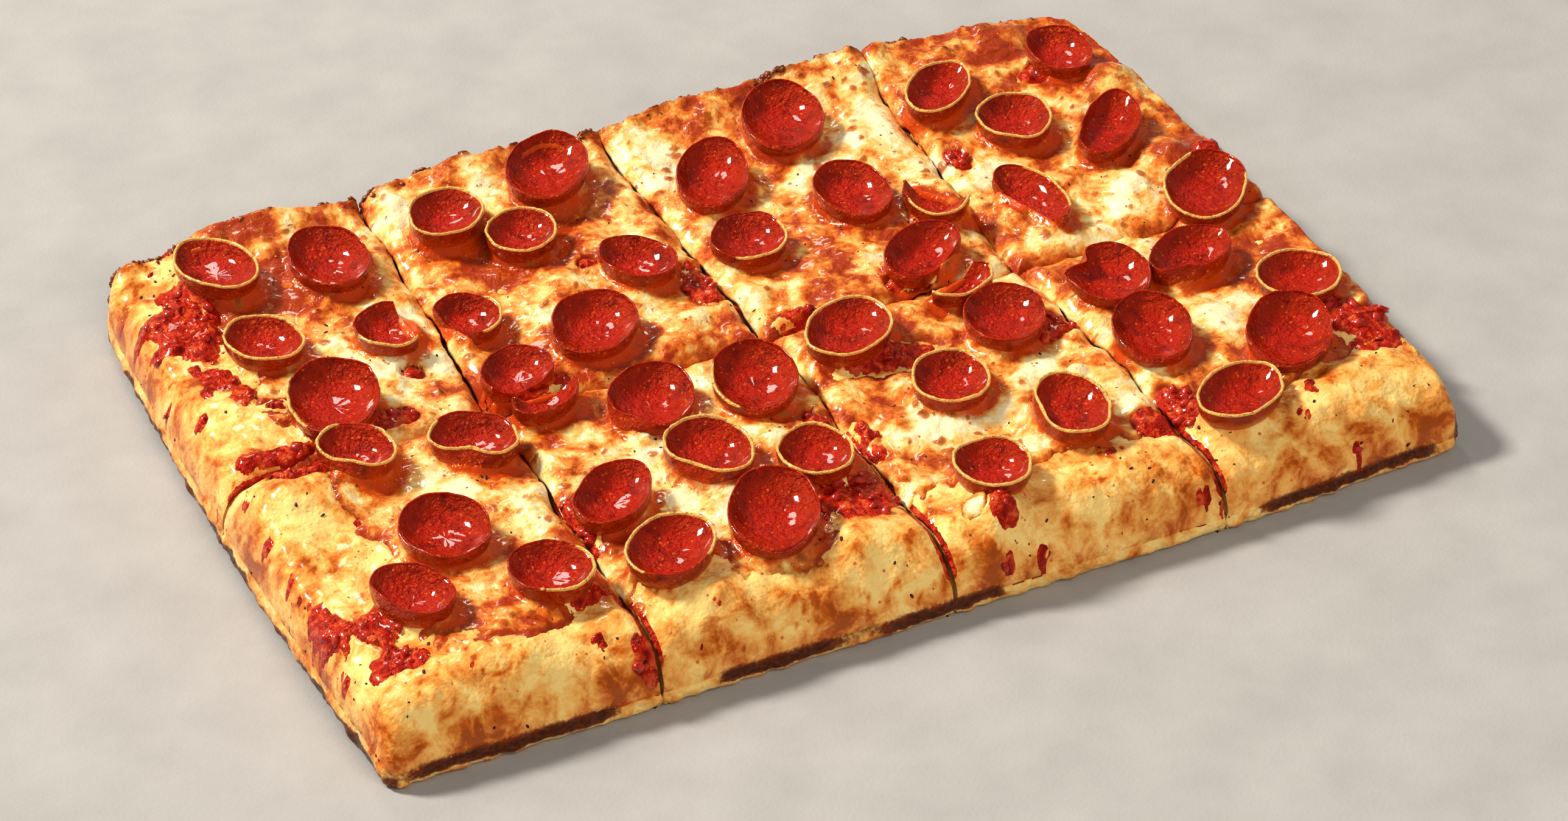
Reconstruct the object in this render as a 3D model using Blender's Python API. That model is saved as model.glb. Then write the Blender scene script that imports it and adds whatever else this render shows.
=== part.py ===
"""A rectangular pan pizza with curled pepperoni, cut into eight slices that still lie together.

Each slice of bread, sauce and cheese is one closed solid, and each curled piece of pepperoni is another.
The pizza lies on its flat base, with its long sides along X. Row a is the back row of slices (+Y) and
row b the front row, and the columns 1 to 4 run from -X to +X. Lengths are written in millimetres and
become metres when a mesh is made.
"""

import math
from typing import NamedTuple

import bmesh
import bpy
from mathutils import Vector
from mathutils.bvhtree import BVHTree

MM = 0.001  # metres in a millimetre

# Driving sizes of the whole pizza
LENGTH = 400.0
DEPTH = 278.0
THICKNESS = 26.0
LIP = 6.0  # height of the outer edge where it leaves the pan
FOOT_INSET = 1.5  # the base is this much smaller than the outer edge
FOOT_HEIGHT = 2.0

# The knife's cuts: three across, one along
COLUMNS = 4
CUT_OFFSETS = (-6.0, -2.0, -2.0)  # how far each cross cut misses its quarter line
LONG_CUT_Y = -1.0
# How far each cross cut swings to +X at its outer end
CUT_LEAN = {"a": (5.5, -2.0, 9.0), "b": (0.0, 2.0, 5.0)}
CUT_GAP = 1.6
CUT_EDGE_WIDTH = 6.0  # the top rounds over into a cut within this distance
CUT_EDGE_DROP = 4.5

# Each outer edge: width of the slope up to the crest of the crust, and how high the steep wall below it is
SLOPE = {"left": 11.0, "right": 4.0, "front": 24.0, "back": 4.0}
WALL = {"left": 9.0, "right": 17.0, "front": 6.0, "back": 21.0}
CORNER_RADIUS = {"a1": 12.0, "a4": 28.0, "b1": 4.0, "b4": 4.0}
BACK_RIM_RISE = 4.0  # the crust climbed the back wall of the pan
BACK_RIM_WIDTH = 26.0

# Where the outline leaves its rectangle
BACK_BULGE = 7.0
BACK_BULGE_X = 100.0
BACK_BULGE_REACH = 180.0
LEFT_BULGE = 4.5
RIGHT_BULGE = 3.0
FRONT_CORNER_DRAW_IN = 4.0
FRONT_CORNER_START = 110.0  # X from which the front edge draws in towards the right corner

# Gentle waves of the top: height, length along X, length along Y and phase of each
LONG_WAVE = (1.1, 31.0, 27.0, 0.7)
SHORT_WAVE = (0.7, 17.0, 23.0, 0.0)
CROWN_POWER = 2.3  # how round the slope's shoulder is
CROWN_RISE = 0.55  # how steeply the slope leaves the edge

# Curled pepperoni
CUP_HEIGHT = 9.0
CUP_WALL = 1.7
CUP_BASE_SHARE = 0.72  # base radius as a share of the rim's
CUP_MID_SHARE = 0.93
CUP_MID_LEVEL = 0.42
CUP_SIDES = 10
CUP_FOLD_WIDTH = 42.0  # degrees of the rim that a fold takes in
RISE_DIRECTION = 64.0  # a tilted rim is highest on this side, in degrees from +X
SEAT_SINK = 1.0  # the pepperoni settles this far into the cheese
SEAT_GAP = 0.35
CUP_PROBES = 24
PROBE_FROM = 100.0  # the probes look down from this height
PROBE_REACH = 1.05  # and cover this share of the base outline
ON_THE_BASE = 0.01  # corners lower than this belong to the base of a cup
SEAT_BLEND = 0.5  # the flat seat fades out over this share of the base outline

# Spacing of the slices' surface grid
EDGE_STEPS = (0.0, 2.0, 5.0, 10.0, 17.0)
INNER_STEP = 14.0

SHARP_ANGLE = math.radians(50)  # edges sharper than this are shaded as edges

CRUST_COLOUR = (0.80, 0.52, 0.22, 1.0)
PEPPERONI_COLOUR = (0.48, 0.04, 0.03, 1.0)


class Puff(NamedTuple):
    """A place where the dough has risen higher, as a dome on the top."""

    x: float
    y: float
    radius: float
    height: float


class Cup(NamedTuple):
    """One piece of pepperoni, by the outline of its rim."""

    name: str
    x: float
    y: float
    length: float
    width: float
    turn: float  # degrees from +X to the rim's long axis
    rise: float = 0.0  # how far the rim's high side stands above its middle
    fold: tuple = ()  # (direction in degrees, share of the radius that the rim is pushed in)
    cut: tuple = ()  # (direction in degrees of the side cut away, distance of the cut from the centre)


PUFFS = (
    Puff(-149, 113, 46, 4),
    Puff(-143, 137, 30, 4),
    Puff(-200, 140, 42, -9),
    Puff(-186, 35, 24, 3),
    Puff(-56, 133, 46, 5.5),
    Puff(-60, 57, 16, 2.5),
    Puff(48, 123, 46, 2),
    Puff(100, 142, 44, 5),
    Puff(148, 121, 40, 2.5),
    Puff(185, 91, 18, 4),
    Puff(184, 33, 22, 4),
    Puff(-184, -21, 22, 3.5),
    Puff(-152, -111, 30, 2.5),
    Puff(-84, -123, 18, 2.5),
    Puff(22, -126, 16, 4.5),
    Puff(-22, -117, 20, 2),
    Puff(158, -117, 30, 2.5),
)

CORNER_PUFFS = (Puff(-200, 140, 24, 6.0),)  # at the outline itself, where the crust stood against the pan

CUPS = (
    Cup("a1_1", -165, 110, 36, 26, 110),
    Cup("a1_2", -127, 98, 35, 28, 100, rise=1.5),
    Cup("a1_3", -164, 65, 31, 25, 115),
    Cup("a1_4", -122, 52, 27, 25, 80, cut=(0, 6)),
    Cup("a1_5", -155, 20, 37, 32, 70, rise=2.5),
    Cup("a2_1", -79, 105, 31, 27, 50),
    Cup("a2_2", -35, 115, 40, 30, 55, rise=1.5),
    Cup("a2_3", -58, 85, 28, 26, 60),
    Cup("a2_4", -27, 52, 30, 24, 120),
    Cup("a2_5", -95, 47, 26, 24, 110, cut=(200, 6)),
    Cup("a2_6", -57, 23, 35, 30, 50, rise=1.5),
    Cup("a2_7", -92, 9, 30, 25, 50, cut=(275, 6)),
    Cup("a3_1", 59, 112, 40, 31, 75, rise=2.0),
    Cup("a3_2", 20, 91, 40, 27, 60, rise=1.5),
    Cup("a3_3", 61, 58, 35, 27, 95, rise=1.0),
    Cup("a3_4", 14, 48, 30, 28, 50),
    Cup("a3_5", 88, 43, 32, 25, 70, cut=(40, 1)),
    Cup("a3_6", 66, 12, 36, 25, 35, rise=1.0, cut=(300, 8)),
    Cup("a4_1", 120, 103, 38, 23, 43),
    Cup("a4_2", 137, 75, 31, 28, 80, fold=(30, -0.12)),
    Cup("a4_3", 175, 109, 32, 24, 85, rise=0.5),
    Cup("a4_4", 166, 55, 42, 23, 47, rise=0.5),
    Cup("a4_5", 119, 28, 40, 23, 95, cut=(198, 4)),
    Cup("a4_6", 179, 5, 42, 30, 50, rise=1.0),
    Cup("b1_1", -159, -11, 29, 24, 120, fold=(225, 0.30)),
    Cup("b1_2", -121, -21, 32, 27, 135, fold=(238, 0.50)),
    Cup("b1_3", -148, -61, 33, 29, 110, rise=1.5),
    Cup("b1_4", -170, -88, 31, 24, 115, fold=(205, 0.22)),
    Cup("b1_5", -125, -97, 29, 26, 125),
    Cup("b2_1", -58, -25, 36, 30, 50, rise=1.5, fold=(212, 0.28)),
    Cup("b2_2", -21, -31, 36, 30, 75, rise=2.0),
    Cup("b2_3", -91, -69, 35, 24, 40, rise=0.5),
    Cup("b2_4", -53, -61, 33, 29, 110, rise=1.0, fold=(218, 0.32)),
    Cup("b2_5", -21, -78, 28, 26, 90),
    Cup("b2_6", -86, -104, 35, 28, 40),
    Cup("b2_7", -48, -102, 40, 31, 65, rise=2.0),
    Cup("b2_8", -89, -8, 28, 20, 30, cut=(95, 3)),
    Cup("b3_1", 20, -20, 37, 29, 35),
    Cup("b3_2", 40, -59, 31, 27, 60),
    Cup("b3_3", 74, -35, 34, 29, 60, rise=0.5),
    Cup("b3_4", 68, -92, 36, 27, 80, fold=(165, 0.22)),
    Cup("b3_5", 29, -110, 28, 26, 90),
    Cup("b3_6", 70, -10, 27, 17, 15, cut=(115, 3)),
    Cup("b4_1", 118, -29, 34, 29, 75, rise=1.0, fold=(125, 0.38)),
    Cup("b4_2", 152, -30, 38, 25, 25, fold=(250, 0.42)),
    Cup("b4_3", 116, -65, 37, 28, 70, rise=1.5),
    Cup("b4_4", 179, -59, 31, 29, 0),
    Cup("b4_5", 157, -89, 40, 30, 55, rise=2.0),
    Cup("b4_6", 124, -111, 36, 26, 25),
)


def clamp(value, low=0.0, high=1.0):
    """The value, kept between low and high."""
    return max(low, min(high, value))


def smooth(value):
    """A smooth step from 0 to 1."""
    t = clamp(value)
    return t * t * (3 - 2 * t)


def cut_lines():
    """The X of the pizza's two ends and of the cross cuts between them."""
    quarter = LENGTH / COLUMNS
    inner = [-LENGTH / 2 + quarter * (i + 1) + offset for i, offset in enumerate(CUT_OFFSETS)]
    return [-LENGTH / 2, *inner, LENGTH / 2]


def round_corner(s, t, row, column):
    """Moves a point of the rectangle so that the slice's outer corner becomes an arc."""
    radius = CORNER_RADIUS.get(f"{row}{column}")
    if radius is None:
        return s, t
    side = -1 if column == 1 else 1
    end = 1 if row == "a" else -1
    p = (s * side - (LENGTH / 2 - radius)) / radius
    q = (t * end - (DEPTH / 2 - radius)) / radius
    if p <= 0 or q <= 0:
        return s, t
    p, q = p * math.sqrt(1 - q * q / 2), q * math.sqrt(1 - p * p / 2)
    return side * (LENGTH / 2 - radius + p * radius), end * (DEPTH / 2 - radius + q * radius)


def lean(s, t, row):
    """How far a point moves along X because the cross cuts beside it aren't square to the long cut."""
    lines = cut_lines()
    swings = (0.0, *CUT_LEAN[row], 0.0)
    shift = 0.0
    for i in range(COLUMNS):
        share = (s - lines[i]) / (lines[i + 1] - lines[i])
        if 0 <= share <= 1:
            shift = swings[i] * (1 - share) + swings[i + 1] * share
    return shift * abs(t - LONG_CUT_Y) / (DEPTH / 2)


def place(s, t, row, column):
    """The X and Y of a point of the plain rectangle on the real, slightly uneven outline."""
    x, y = round_corner(s, t, row, column)
    x += lean(s, t, row)
    bulge = BACK_BULGE * (1 - smooth(abs(x - BACK_BULGE_X) / BACK_BULGE_REACH))
    y += bulge * smooth(t / (DEPTH / 2))
    corner = smooth((x - FRONT_CORNER_START) / (LENGTH / 2 - FRONT_CORNER_START))
    y += FRONT_CORNER_DRAW_IN * corner * smooth(-t / (DEPTH / 2))
    bow = math.cos(math.pi * t / DEPTH)
    x -= LEFT_BULGE * bow * smooth(-4 * s / LENGTH - 1)
    x += RIGHT_BULGE * bow * smooth(4 * s / LENGTH - 1)
    return x, y


def crown(share):
    """Height of a rounded slope, from 0 at the edge to 1 at the crest."""
    return (1 - (1 - clamp(share)) ** CROWN_POWER) ** CROWN_RISE


def dome(puff, x, y):
    """How much a puff adds to the height at a point."""
    reach = math.hypot(x - puff.x, y - puff.y) / puff.radius
    return puff.height * (1 - reach * reach) ** 2 if reach < 1 else 0.0


def open_top(x, y):
    """Height of the top away from all edges, with its waves and puffs."""
    high, along, across, phase = LONG_WAVE
    height = THICKNESS + high * math.sin(x / along + phase) * math.cos(y / across)
    high, along, across, phase = SHORT_WAVE
    height += high * math.sin(x / along - y / across + phase)
    for puff in PUFFS:
        height += dome(puff, x, y)
    return height


def rim_reach(cup, x, y):
    """How far out a point lies, as a share of the cup's base outline."""
    turn = math.radians(cup.turn)
    dx, dy = x - cup.x, y - cup.y
    along = (dx * math.cos(turn) + dy * math.sin(turn)) / (cup.length / 2)
    across = (dy * math.cos(turn) - dx * math.sin(turn)) / (cup.width / 2)
    return math.hypot(along, across) / CUP_BASE_SHARE


def top_height(x, y, s, t, row, column):
    """Height of a slice's top: the open top, flat under the pepperoni, falling at crust and cuts."""
    height = open_top(x, y)
    for cup in CUPS:
        hold = 1 - smooth((rim_reach(cup, x, y) - 1.0) / SEAT_BLEND)
        if hold > 0:
            height += hold * (open_top(cup.x, cup.y) - SEAT_SINK - height)
    lines = cut_lines()
    height += BACK_RIM_RISE * (1 - smooth((DEPTH / 2 - t) / BACK_RIM_WIDTH))
    inward = {"left": s - lines[0], "right": lines[-1] - s, "front": t + DEPTH / 2, "back": DEPTH / 2 - t}
    fall = 1.0
    for side, distance in inward.items():
        wall = (WALL[side] - LIP) / (THICKNESS - LIP)
        fall *= wall + (1 - wall) * crown(distance / SLOPE[side])
    height = LIP + (height - LIP) * fall
    for puff in CORNER_PUFFS:
        height += dome(puff, x, y)
    to_cut = abs(t - LONG_CUT_Y)
    if column > 1:
        to_cut = min(to_cut, abs(s - lines[column - 1]))
    if column < COLUMNS:
        to_cut = min(to_cut, abs(s - lines[column]))
    drop = CUT_EDGE_DROP * (1 - clamp(to_cut / CUT_EDGE_WIDTH)) ** 2
    return height - drop * clamp((height - LIP) / (THICKNESS - LIP))


def grid_lines(low, high):
    """Grid positions from low to high, close together near both ends."""
    near = [low + step for step in EDGE_STEPS]
    far = [high - step for step in reversed(EDGE_STEPS)]
    count = max(1, round((far[0] - near[-1]) / INNER_STEP))
    middle = [near[-1] + (far[0] - near[-1]) * i / count for i in range(1, count)]
    return near + middle + far


def new_object(name, bm, material, parent):
    """Makes an object of the bmesh, in metres, and frees it."""
    mesh = bpy.data.meshes.new(name)
    bm.to_mesh(mesh)
    bm.free()
    mesh.materials.append(material)
    obj = bpy.data.objects.new(name, mesh)
    obj.parent = parent
    bpy.context.scene.collection.objects.link(obj)
    return obj


def make_slice(row, column, material, parent):
    """One slice: a surface grid on top, a wall round it and a flat base."""
    lines = cut_lines()
    half_gap = CUT_GAP / 2
    left = lines[column - 1] + (half_gap if column > 1 else 0)
    right = lines[column] - (half_gap if column < COLUMNS else 0)
    front, back = (LONG_CUT_Y + half_gap, DEPTH / 2) if row == "a" else (-DEPTH / 2, LONG_CUT_Y - half_gap)
    columns_s, rows_t = grid_lines(left, right), grid_lines(front, back)
    bm = bmesh.new()
    grid = []
    for t in rows_t:
        grid.append([])
        for s in columns_s:
            x, y = place(s, t, row, column)
            z = top_height(x, y, s, t, row, column)
            grid[-1].append(bm.verts.new((x * MM, y * MM, z * MM)))
    for lower, upper in zip(grid, grid[1:]):
        for i in range(len(lower) - 1):
            bm.faces.new((lower[i], lower[i + 1], upper[i + 1], upper[i]))
    rim = grid[0] + [line[-1] for line in grid[1:]] + grid[-1][-2::-1] + [line[0] for line in grid[-2:0:-1]]
    middle = Vector((sum(v.co.x for v in rim), sum(v.co.y for v in rim), 0)) / len(rim)
    inset = 1 - FOOT_INSET * MM / (rim[0].co.xy - middle.xy).length
    rings = [rim]
    for level, scale in ((FOOT_HEIGHT, 1.0), (0.0, inset)):
        spread = [middle.xy + (v.co.xy - middle.xy) * scale for v in rim]
        rings.append([bm.verts.new((at.x, at.y, level * MM)) for at in spread])
    for upper, lower in zip(rings, rings[1:]):
        for i in range(len(rim)):
            j = (i + 1) % len(rim)
            bm.faces.new((upper[i], lower[i], lower[j], upper[j]))
    bm.faces.new(reversed(rings[-1]))
    bmesh.ops.triangulate(bm, faces=bm.faces)
    return new_object(f"slice_{row}{column}", bm, material, parent)


def cup_ring(cup, share, level, shrink=0.0):
    """Points of one ring of a cup: share of the rim's radius, at a level of its height, less a wall."""
    turn = math.radians(cup.turn)
    points = []
    for i in range(CUP_SIDES):
        angle = 2 * math.pi * i / CUP_SIDES
        along = (cup.length / 2 * share - shrink) * math.cos(angle)
        across = (cup.width / 2 * share - shrink) * math.sin(angle)
        if cup.fold:
            away = math.degrees(angle) + cup.turn - cup.fold[0]
            away = (away + 180) % 360 - 180
            pushed = 1 - cup.fold[1] * level * math.exp(-((away / CUP_FOLD_WIDTH) ** 2))
            along, across = along * pushed, across * pushed
        x = along * math.cos(turn) - across * math.sin(turn)
        y = along * math.sin(turn) + across * math.cos(turn)
        high = math.radians(RISE_DIRECTION)
        outward = (x * math.cos(high) + y * math.sin(high)) / (cup.width / 2)
        points.append((x, y, level * (CUP_HEIGHT + cup.rise * outward)))
    return points


def make_cup(cup, ground, material, parent):
    """One curled piece of pepperoni, resting on the slices' tops."""
    outer = [
        cup_ring(cup, CUP_BASE_SHARE, 0.0),
        cup_ring(cup, CUP_MID_SHARE, CUP_MID_LEVEL),
        cup_ring(cup, 1.0, 1.0),
    ]
    inner = [
        cup_ring(cup, 1.0, 1.0, CUP_WALL),
        cup_ring(cup, CUP_MID_SHARE, CUP_MID_LEVEL, CUP_WALL),
        [(x, y, CUP_WALL) for x, y, _ in cup_ring(cup, CUP_BASE_SHARE, 0.0, CUP_WALL)],
    ]
    bm = bmesh.new()
    rings = [[bm.verts.new(Vector(point) * MM) for point in ring] for ring in outer + inner]
    bm.faces.new(reversed(rings[0]))
    for lower, upper in zip(rings, rings[1:]):
        for i in range(CUP_SIDES):
            j = (i + 1) % CUP_SIDES
            bm.faces.new((lower[i], lower[j], upper[j], upper[i]))
    bm.faces.new(rings[-1])
    if cup.cut:
        cut_away(bm, cup)
    bmesh.ops.triangulate(bm, faces=bm.faces)
    bmesh.ops.translate(bm, verts=bm.verts, vec=Vector((cup.x, cup.y, rest_height(bm, cup, ground))) * MM)
    return new_object(f"pepperoni_{cup.name}", bm, material, parent)


def cut_away(bm, cup):
    """Removes the side of a cup that the knife took, and closes the cut."""
    angle = math.radians(cup.cut[0])
    outward = Vector((math.cos(angle), math.sin(angle), 0))
    everything = bm.verts[:] + bm.edges[:] + bm.faces[:]
    cut = bmesh.ops.bisect_plane(
        bm, geom=everything, plane_co=outward * cup.cut[1] * MM, plane_no=outward, clear_outer=True
    )
    edges = [part for part in cut["geom_cut"] if isinstance(part, bmesh.types.BMEdge)]
    bmesh.ops.triangle_fill(bm, edges=edges, use_beauty=True, normal=outward)
    bmesh.ops.recalc_face_normals(bm, faces=bm.faces)


def rest_height(bm, cup, ground):
    """Lowest Z, in millimetres, at which the cup clears every slice below it."""
    base = max(vert.co.xy.length for vert in bm.verts if vert.co.z < ON_THE_BASE * MM)
    highest = 0.0
    steps = range(-CUP_PROBES, CUP_PROBES + 1)
    for i in steps:
        for j in steps:
            offset = Vector((i, j)) * base / CUP_PROBES
            x, y = cup.x + offset.x / MM, cup.y + offset.y / MM
            if rim_reach(cup, x, y) > PROBE_REACH:
                continue
            hit = ground.ray_cast(Vector((x, y, PROBE_FROM)) * MM, Vector((0, 0, -1)))[0]
            if hit:
                highest = max(highest, hit.z / MM)
    return highest + SEAT_GAP


def surface_of(objects):
    """A search tree of the slices' faces, to set the pepperoni down on."""
    points, faces = [], []
    for obj in objects:
        start = len(points)
        points += [vert.co.copy() for vert in obj.data.vertices]
        faces += [[start + i for i in face.vertices] for face in obj.data.polygons]
    return BVHTree.FromPolygons(points, faces)


def new_material(name, colour, roughness):
    """A plain Principled material."""
    material = bpy.data.materials.new(name)
    material.use_nodes = True
    shader = material.node_tree.nodes["Principled BSDF"]
    shader.inputs["Base Color"].default_value = colour
    shader.inputs["Roughness"].default_value = roughness
    shader.inputs["Metallic"].default_value = 0.0
    return material


def centre_on_base(parent, slices):
    """Moves the whole so that the origin is the middle of its base."""
    points = [vert.co for obj in slices for vert in obj.data.vertices]
    middle_x = (min(p.x for p in points) + max(p.x for p in points)) / 2
    middle_y = (min(p.y for p in points) + max(p.y for p in points)) / 2
    parent.location = (-middle_x, -middle_y, 0)


def main():
    """Makes the whole: the eight slices, then each cup where it clears them."""
    for obj in list(bpy.data.objects):
        bpy.data.objects.remove(obj)
    pizza = bpy.data.objects.new("pizza", None)
    bpy.context.scene.collection.objects.link(pizza)
    slices = []
    for row in "ab":
        for column in range(1, COLUMNS + 1):
            crust = new_material(f"crust_{row}{column}", CRUST_COLOUR, 0.45)
            slices.append(make_slice(row, column, crust, pizza))
    ground = surface_of(slices)
    for cup in CUPS:
        meat = new_material(f"meat_{cup.name}", PEPPERONI_COLOUR, 0.3)
        make_cup(cup, ground, meat, pizza)
    centre_on_base(pizza, slices)
    for obj in bpy.data.objects:
        if obj.type == "MESH":
            obj.data.shade_smooth()
            obj.data.set_sharp_from_angle(angle=SHARP_ANGLE)


main()
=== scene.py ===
"""The looks of a rectangular pan pizza, cut into eight slices that still lie together.

Each slice has three pieces: the baked crust, the crushed tomato on it and the melted cheese on top. Each
curled piece of pepperoni is one more, and herbs, tomato bits, oil beads, crisp crumbs and flecks of char
are scattered over them. Lengths are written in millimetres and become metres when a mesh is made.
"""

import logging
import math
from dataclasses import dataclass, field
from enum import Enum
from functools import cached_property, partial
from typing import NamedTuple

import bmesh
import bpy
import numpy as np
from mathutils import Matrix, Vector


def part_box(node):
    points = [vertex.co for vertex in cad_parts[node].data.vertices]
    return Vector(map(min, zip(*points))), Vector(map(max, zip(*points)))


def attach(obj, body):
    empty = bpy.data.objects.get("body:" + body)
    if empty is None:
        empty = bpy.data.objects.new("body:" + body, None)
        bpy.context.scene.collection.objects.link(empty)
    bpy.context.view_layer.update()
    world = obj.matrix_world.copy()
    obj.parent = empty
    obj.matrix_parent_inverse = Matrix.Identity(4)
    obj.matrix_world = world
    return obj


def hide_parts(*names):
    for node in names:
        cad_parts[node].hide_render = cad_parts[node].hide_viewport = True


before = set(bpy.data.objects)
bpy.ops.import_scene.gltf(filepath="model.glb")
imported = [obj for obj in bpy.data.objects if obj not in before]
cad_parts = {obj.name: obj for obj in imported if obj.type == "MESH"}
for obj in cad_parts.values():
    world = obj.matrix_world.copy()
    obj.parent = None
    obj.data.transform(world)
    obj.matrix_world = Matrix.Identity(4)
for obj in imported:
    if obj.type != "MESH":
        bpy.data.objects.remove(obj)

MM = 0.001  # metres in a millimetre
BODY = "root"
LOG = logging.getLogger("pizza")
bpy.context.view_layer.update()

Array = np.ndarray
Colour = tuple[float, ...]
Inputs = dict[str | int, object]  # a socket or a value for each input of a node, by name or number
Socket = bpy.types.NodeSocket
Spots = tuple[tuple[float, ...], ...]  # the numbers of a few patches

WAVE_TURN = 6.28  # radians, as the uneven rims take it
FULL_TURN = 6.283  # radians, as the random turns take it
DIAGONAL_ROUNDS = 4  # how often the corners of a layer are closed again
BARE_FADE = 9.0  # how slowly the cheese gives way to bare crust
FAR = 60.0  # a distance beyond the reach of any piece of pepperoni


# ---------------------------------------------------------------- small sums


def smooth(value: Array) -> Array:
    """A smooth step from 0 to 1."""
    t = np.clip(value, 0.0, 1.0)
    return t * t * (3 - 2 * t)


def lattice(column: Array, row: Array, seed: int) -> Array:
    """Steady random numbers from 0 to 1, one for each whole-numbered place.

    Args:
        column: Whole numbers along X.
        row: Whole numbers along Y.
        seed: Which of the many sets of numbers to use.

    Returns:
        An array of numbers, the same each time.
    """
    mixed = (column.astype(np.int64) * 73856093) ^ (row.astype(np.int64) * 19349663) ^ (seed * 83492791)
    mixed = ((mixed ^ (mixed >> 13)) * 1274126177) & 0xFFFFFFFF
    mixed = ((mixed ^ (mixed >> 15)) * 2246822519) & 0xFFFFFFFF
    return ((mixed ^ (mixed >> 16)) & 0xFFFFFF) / float(0xFFFFFF)


def swell(x: Array, y: Array, size: float, seed: int) -> Array:
    """One octave of soft noise.

    Args:
        x: Places along X.
        y: Places along Y.
        size: Width of its features.
        seed: Which pattern.

    Returns:
        Noise from -1 to 1.
    """
    u, v = x / size, y / size
    column, row = np.floor(u), np.floor(v)
    fu, fv = u - column, v - row
    fu, fv = (share * share * share * (share * (share * 6 - 15) + 10) for share in (fu, fv))
    low = lattice(column, row, seed) * (1 - fu) + lattice(column + 1, row, seed) * fu
    high = lattice(column, row + 1, seed) * (1 - fu) + lattice(column + 1, row + 1, seed) * fu
    return (low * (1 - fv) + high * fv) * 2 - 1


def rough(x: Array, y: Array, size: float, seed: int, octaves: int = 4, fade: float = 0.55) -> Array:
    """Several octaves of noise on top of each other.

    Args:
        x: Places along X.
        y: Places along Y.
        size: Width of the widest features.
        seed: Which pattern.
        octaves: How many times the size is halved.
        fade: How much weaker each finer octave is.

    Returns:
        Noise, mostly between -1 and 1.
    """
    total, weight, share = np.zeros_like(x), 0.0, 1.0
    for octave in range(octaves):
        turn = 0.6 * octave + seed
        u, v = x * math.cos(turn) - y * math.sin(turn), x * math.sin(turn) + y * math.cos(turn)
        total += share * swell(u, v, size / 2**octave, seed * 31 + octave)
        weight += share
        share *= fade
    return total / weight * 1.6


def blots(x: Array, y: Array, cell: float, chance: float, radii: tuple[float, float], seed: int) -> Array:
    """Round spots, one at most in each cell of a loose grid.

    Args:
        x: Places along X.
        y: Places along Y.
        cell: Width of a cell.
        chance: Share of the cells that have a spot.
        radii: Smallest and largest radius.
        seed: Which pattern.

    Returns:
        1 in the middle of a spot, falling to 0 at its edge.
    """
    column, row = np.floor(x / cell), np.floor(y / cell)
    best = np.zeros_like(x)
    for across in (-1, 0, 1):
        for along in (-1, 0, 1):
            c, r = column + across, row + along
            centre_x = (c + 0.15 + 0.7 * lattice(c, r, seed)) * cell
            centre_y = (r + 0.15 + 0.7 * lattice(c, r, seed + 1)) * cell
            radius = radii[0] + (radii[1] - radii[0]) * lattice(c, r, seed + 2) ** 2
            there = lattice(c, r, seed + 3) < chance
            near = 1 - np.hypot(x - centre_x, y - centre_y) / radius
            best = np.maximum(best, np.where(there, near, 0.0))
    return best


def linear(red: float, green: float, blue: float) -> Colour:
    """A colour as a screen shows it, turned into the light that a shader works with.

    Args:
        red: Red, from 0 to 1.
        green: Green, from 0 to 1.
        blue: Blue, from 0 to 1.

    Returns:
        The red, green, blue and opacity of the light.
    """
    shown = (red, green, blue)
    return tuple(c / 12.92 if c <= 0.04045 else ((c + 0.055) / 1.055) ** 2.4 for c in shown) + (1.0,)


# ---------------------------------------------------------------- meshes


def link_object(name: str, data: object) -> bpy.types.Object:
    """Makes an object and puts it in the scene.

    Args:
        name: The object's name.
        data: Its mesh, camera or light.

    Returns:
        The object.
    """
    obj = bpy.data.objects.new(name, data)
    bpy.context.scene.collection.objects.link(obj)
    return obj


@dataclass
class Skin:
    """Points and faces of a mesh that is being put together, with a number for each point by name."""

    points: list[Array] = field(default_factory=list)
    faces: list[Array] = field(default_factory=list)
    values: dict[str, list[Array]] = field(default_factory=dict)
    count: int = 0

    def add(self, points: Array, faces: list[Array], **values: Array) -> int:
        """Adds points and the faces between them.

        Args:
            points: One row of X, Y and Z for each point, in millimetres.
            faces: Arrays of faces, each with one row of point numbers for each face, from 0.
            values: Numbers for each point, by name.

        Returns:
            The number of the first point added.
        """
        start = self.count
        self.points.append(points)
        self.faces += [f + start for f in faces if len(f)]
        for name, numbers in values.items():
            self.values.setdefault(name, []).append(np.broadcast_to(numbers, len(points)).astype(float))
        self.count += len(points)
        return start

    def build(self, name: str, material: bpy.types.Material) -> bpy.types.Object:
        """Makes the object, smoothly shaded, with its place in its mesh.

        Args:
            name: The name of the object and its mesh.
            material: Its finish.

        Returns:
            The object.
        """
        points = np.concatenate(self.points) * MM
        corners = np.concatenate([f.ravel() for f in self.faces]).astype(np.int32)
        sizes = np.concatenate([np.full(len(f), f.shape[1]) for f in self.faces]).astype(np.int32)
        starts = np.concatenate([[0], np.cumsum(sizes)[:-1]]).astype(np.int32)
        mesh = bpy.data.meshes.new(name)
        mesh.vertices.add(len(points))
        mesh.vertices.foreach_set("co", points.astype(np.float32).ravel())
        mesh.loops.add(len(corners))
        mesh.loops.foreach_set("vertex_index", corners)
        mesh.polygons.add(len(sizes))
        mesh.polygons.foreach_set("loop_start", starts)
        mesh.update(calc_edges=True)
        for title, numbers in self.values.items():
            layer = mesh.attributes.new(title, "FLOAT", "POINT")
            layer.data.foreach_set("value", np.concatenate(numbers).astype(np.float32))
        mesh.shade_smooth()
        mesh.materials.append(material)
        return link_object(name, mesh)


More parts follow.
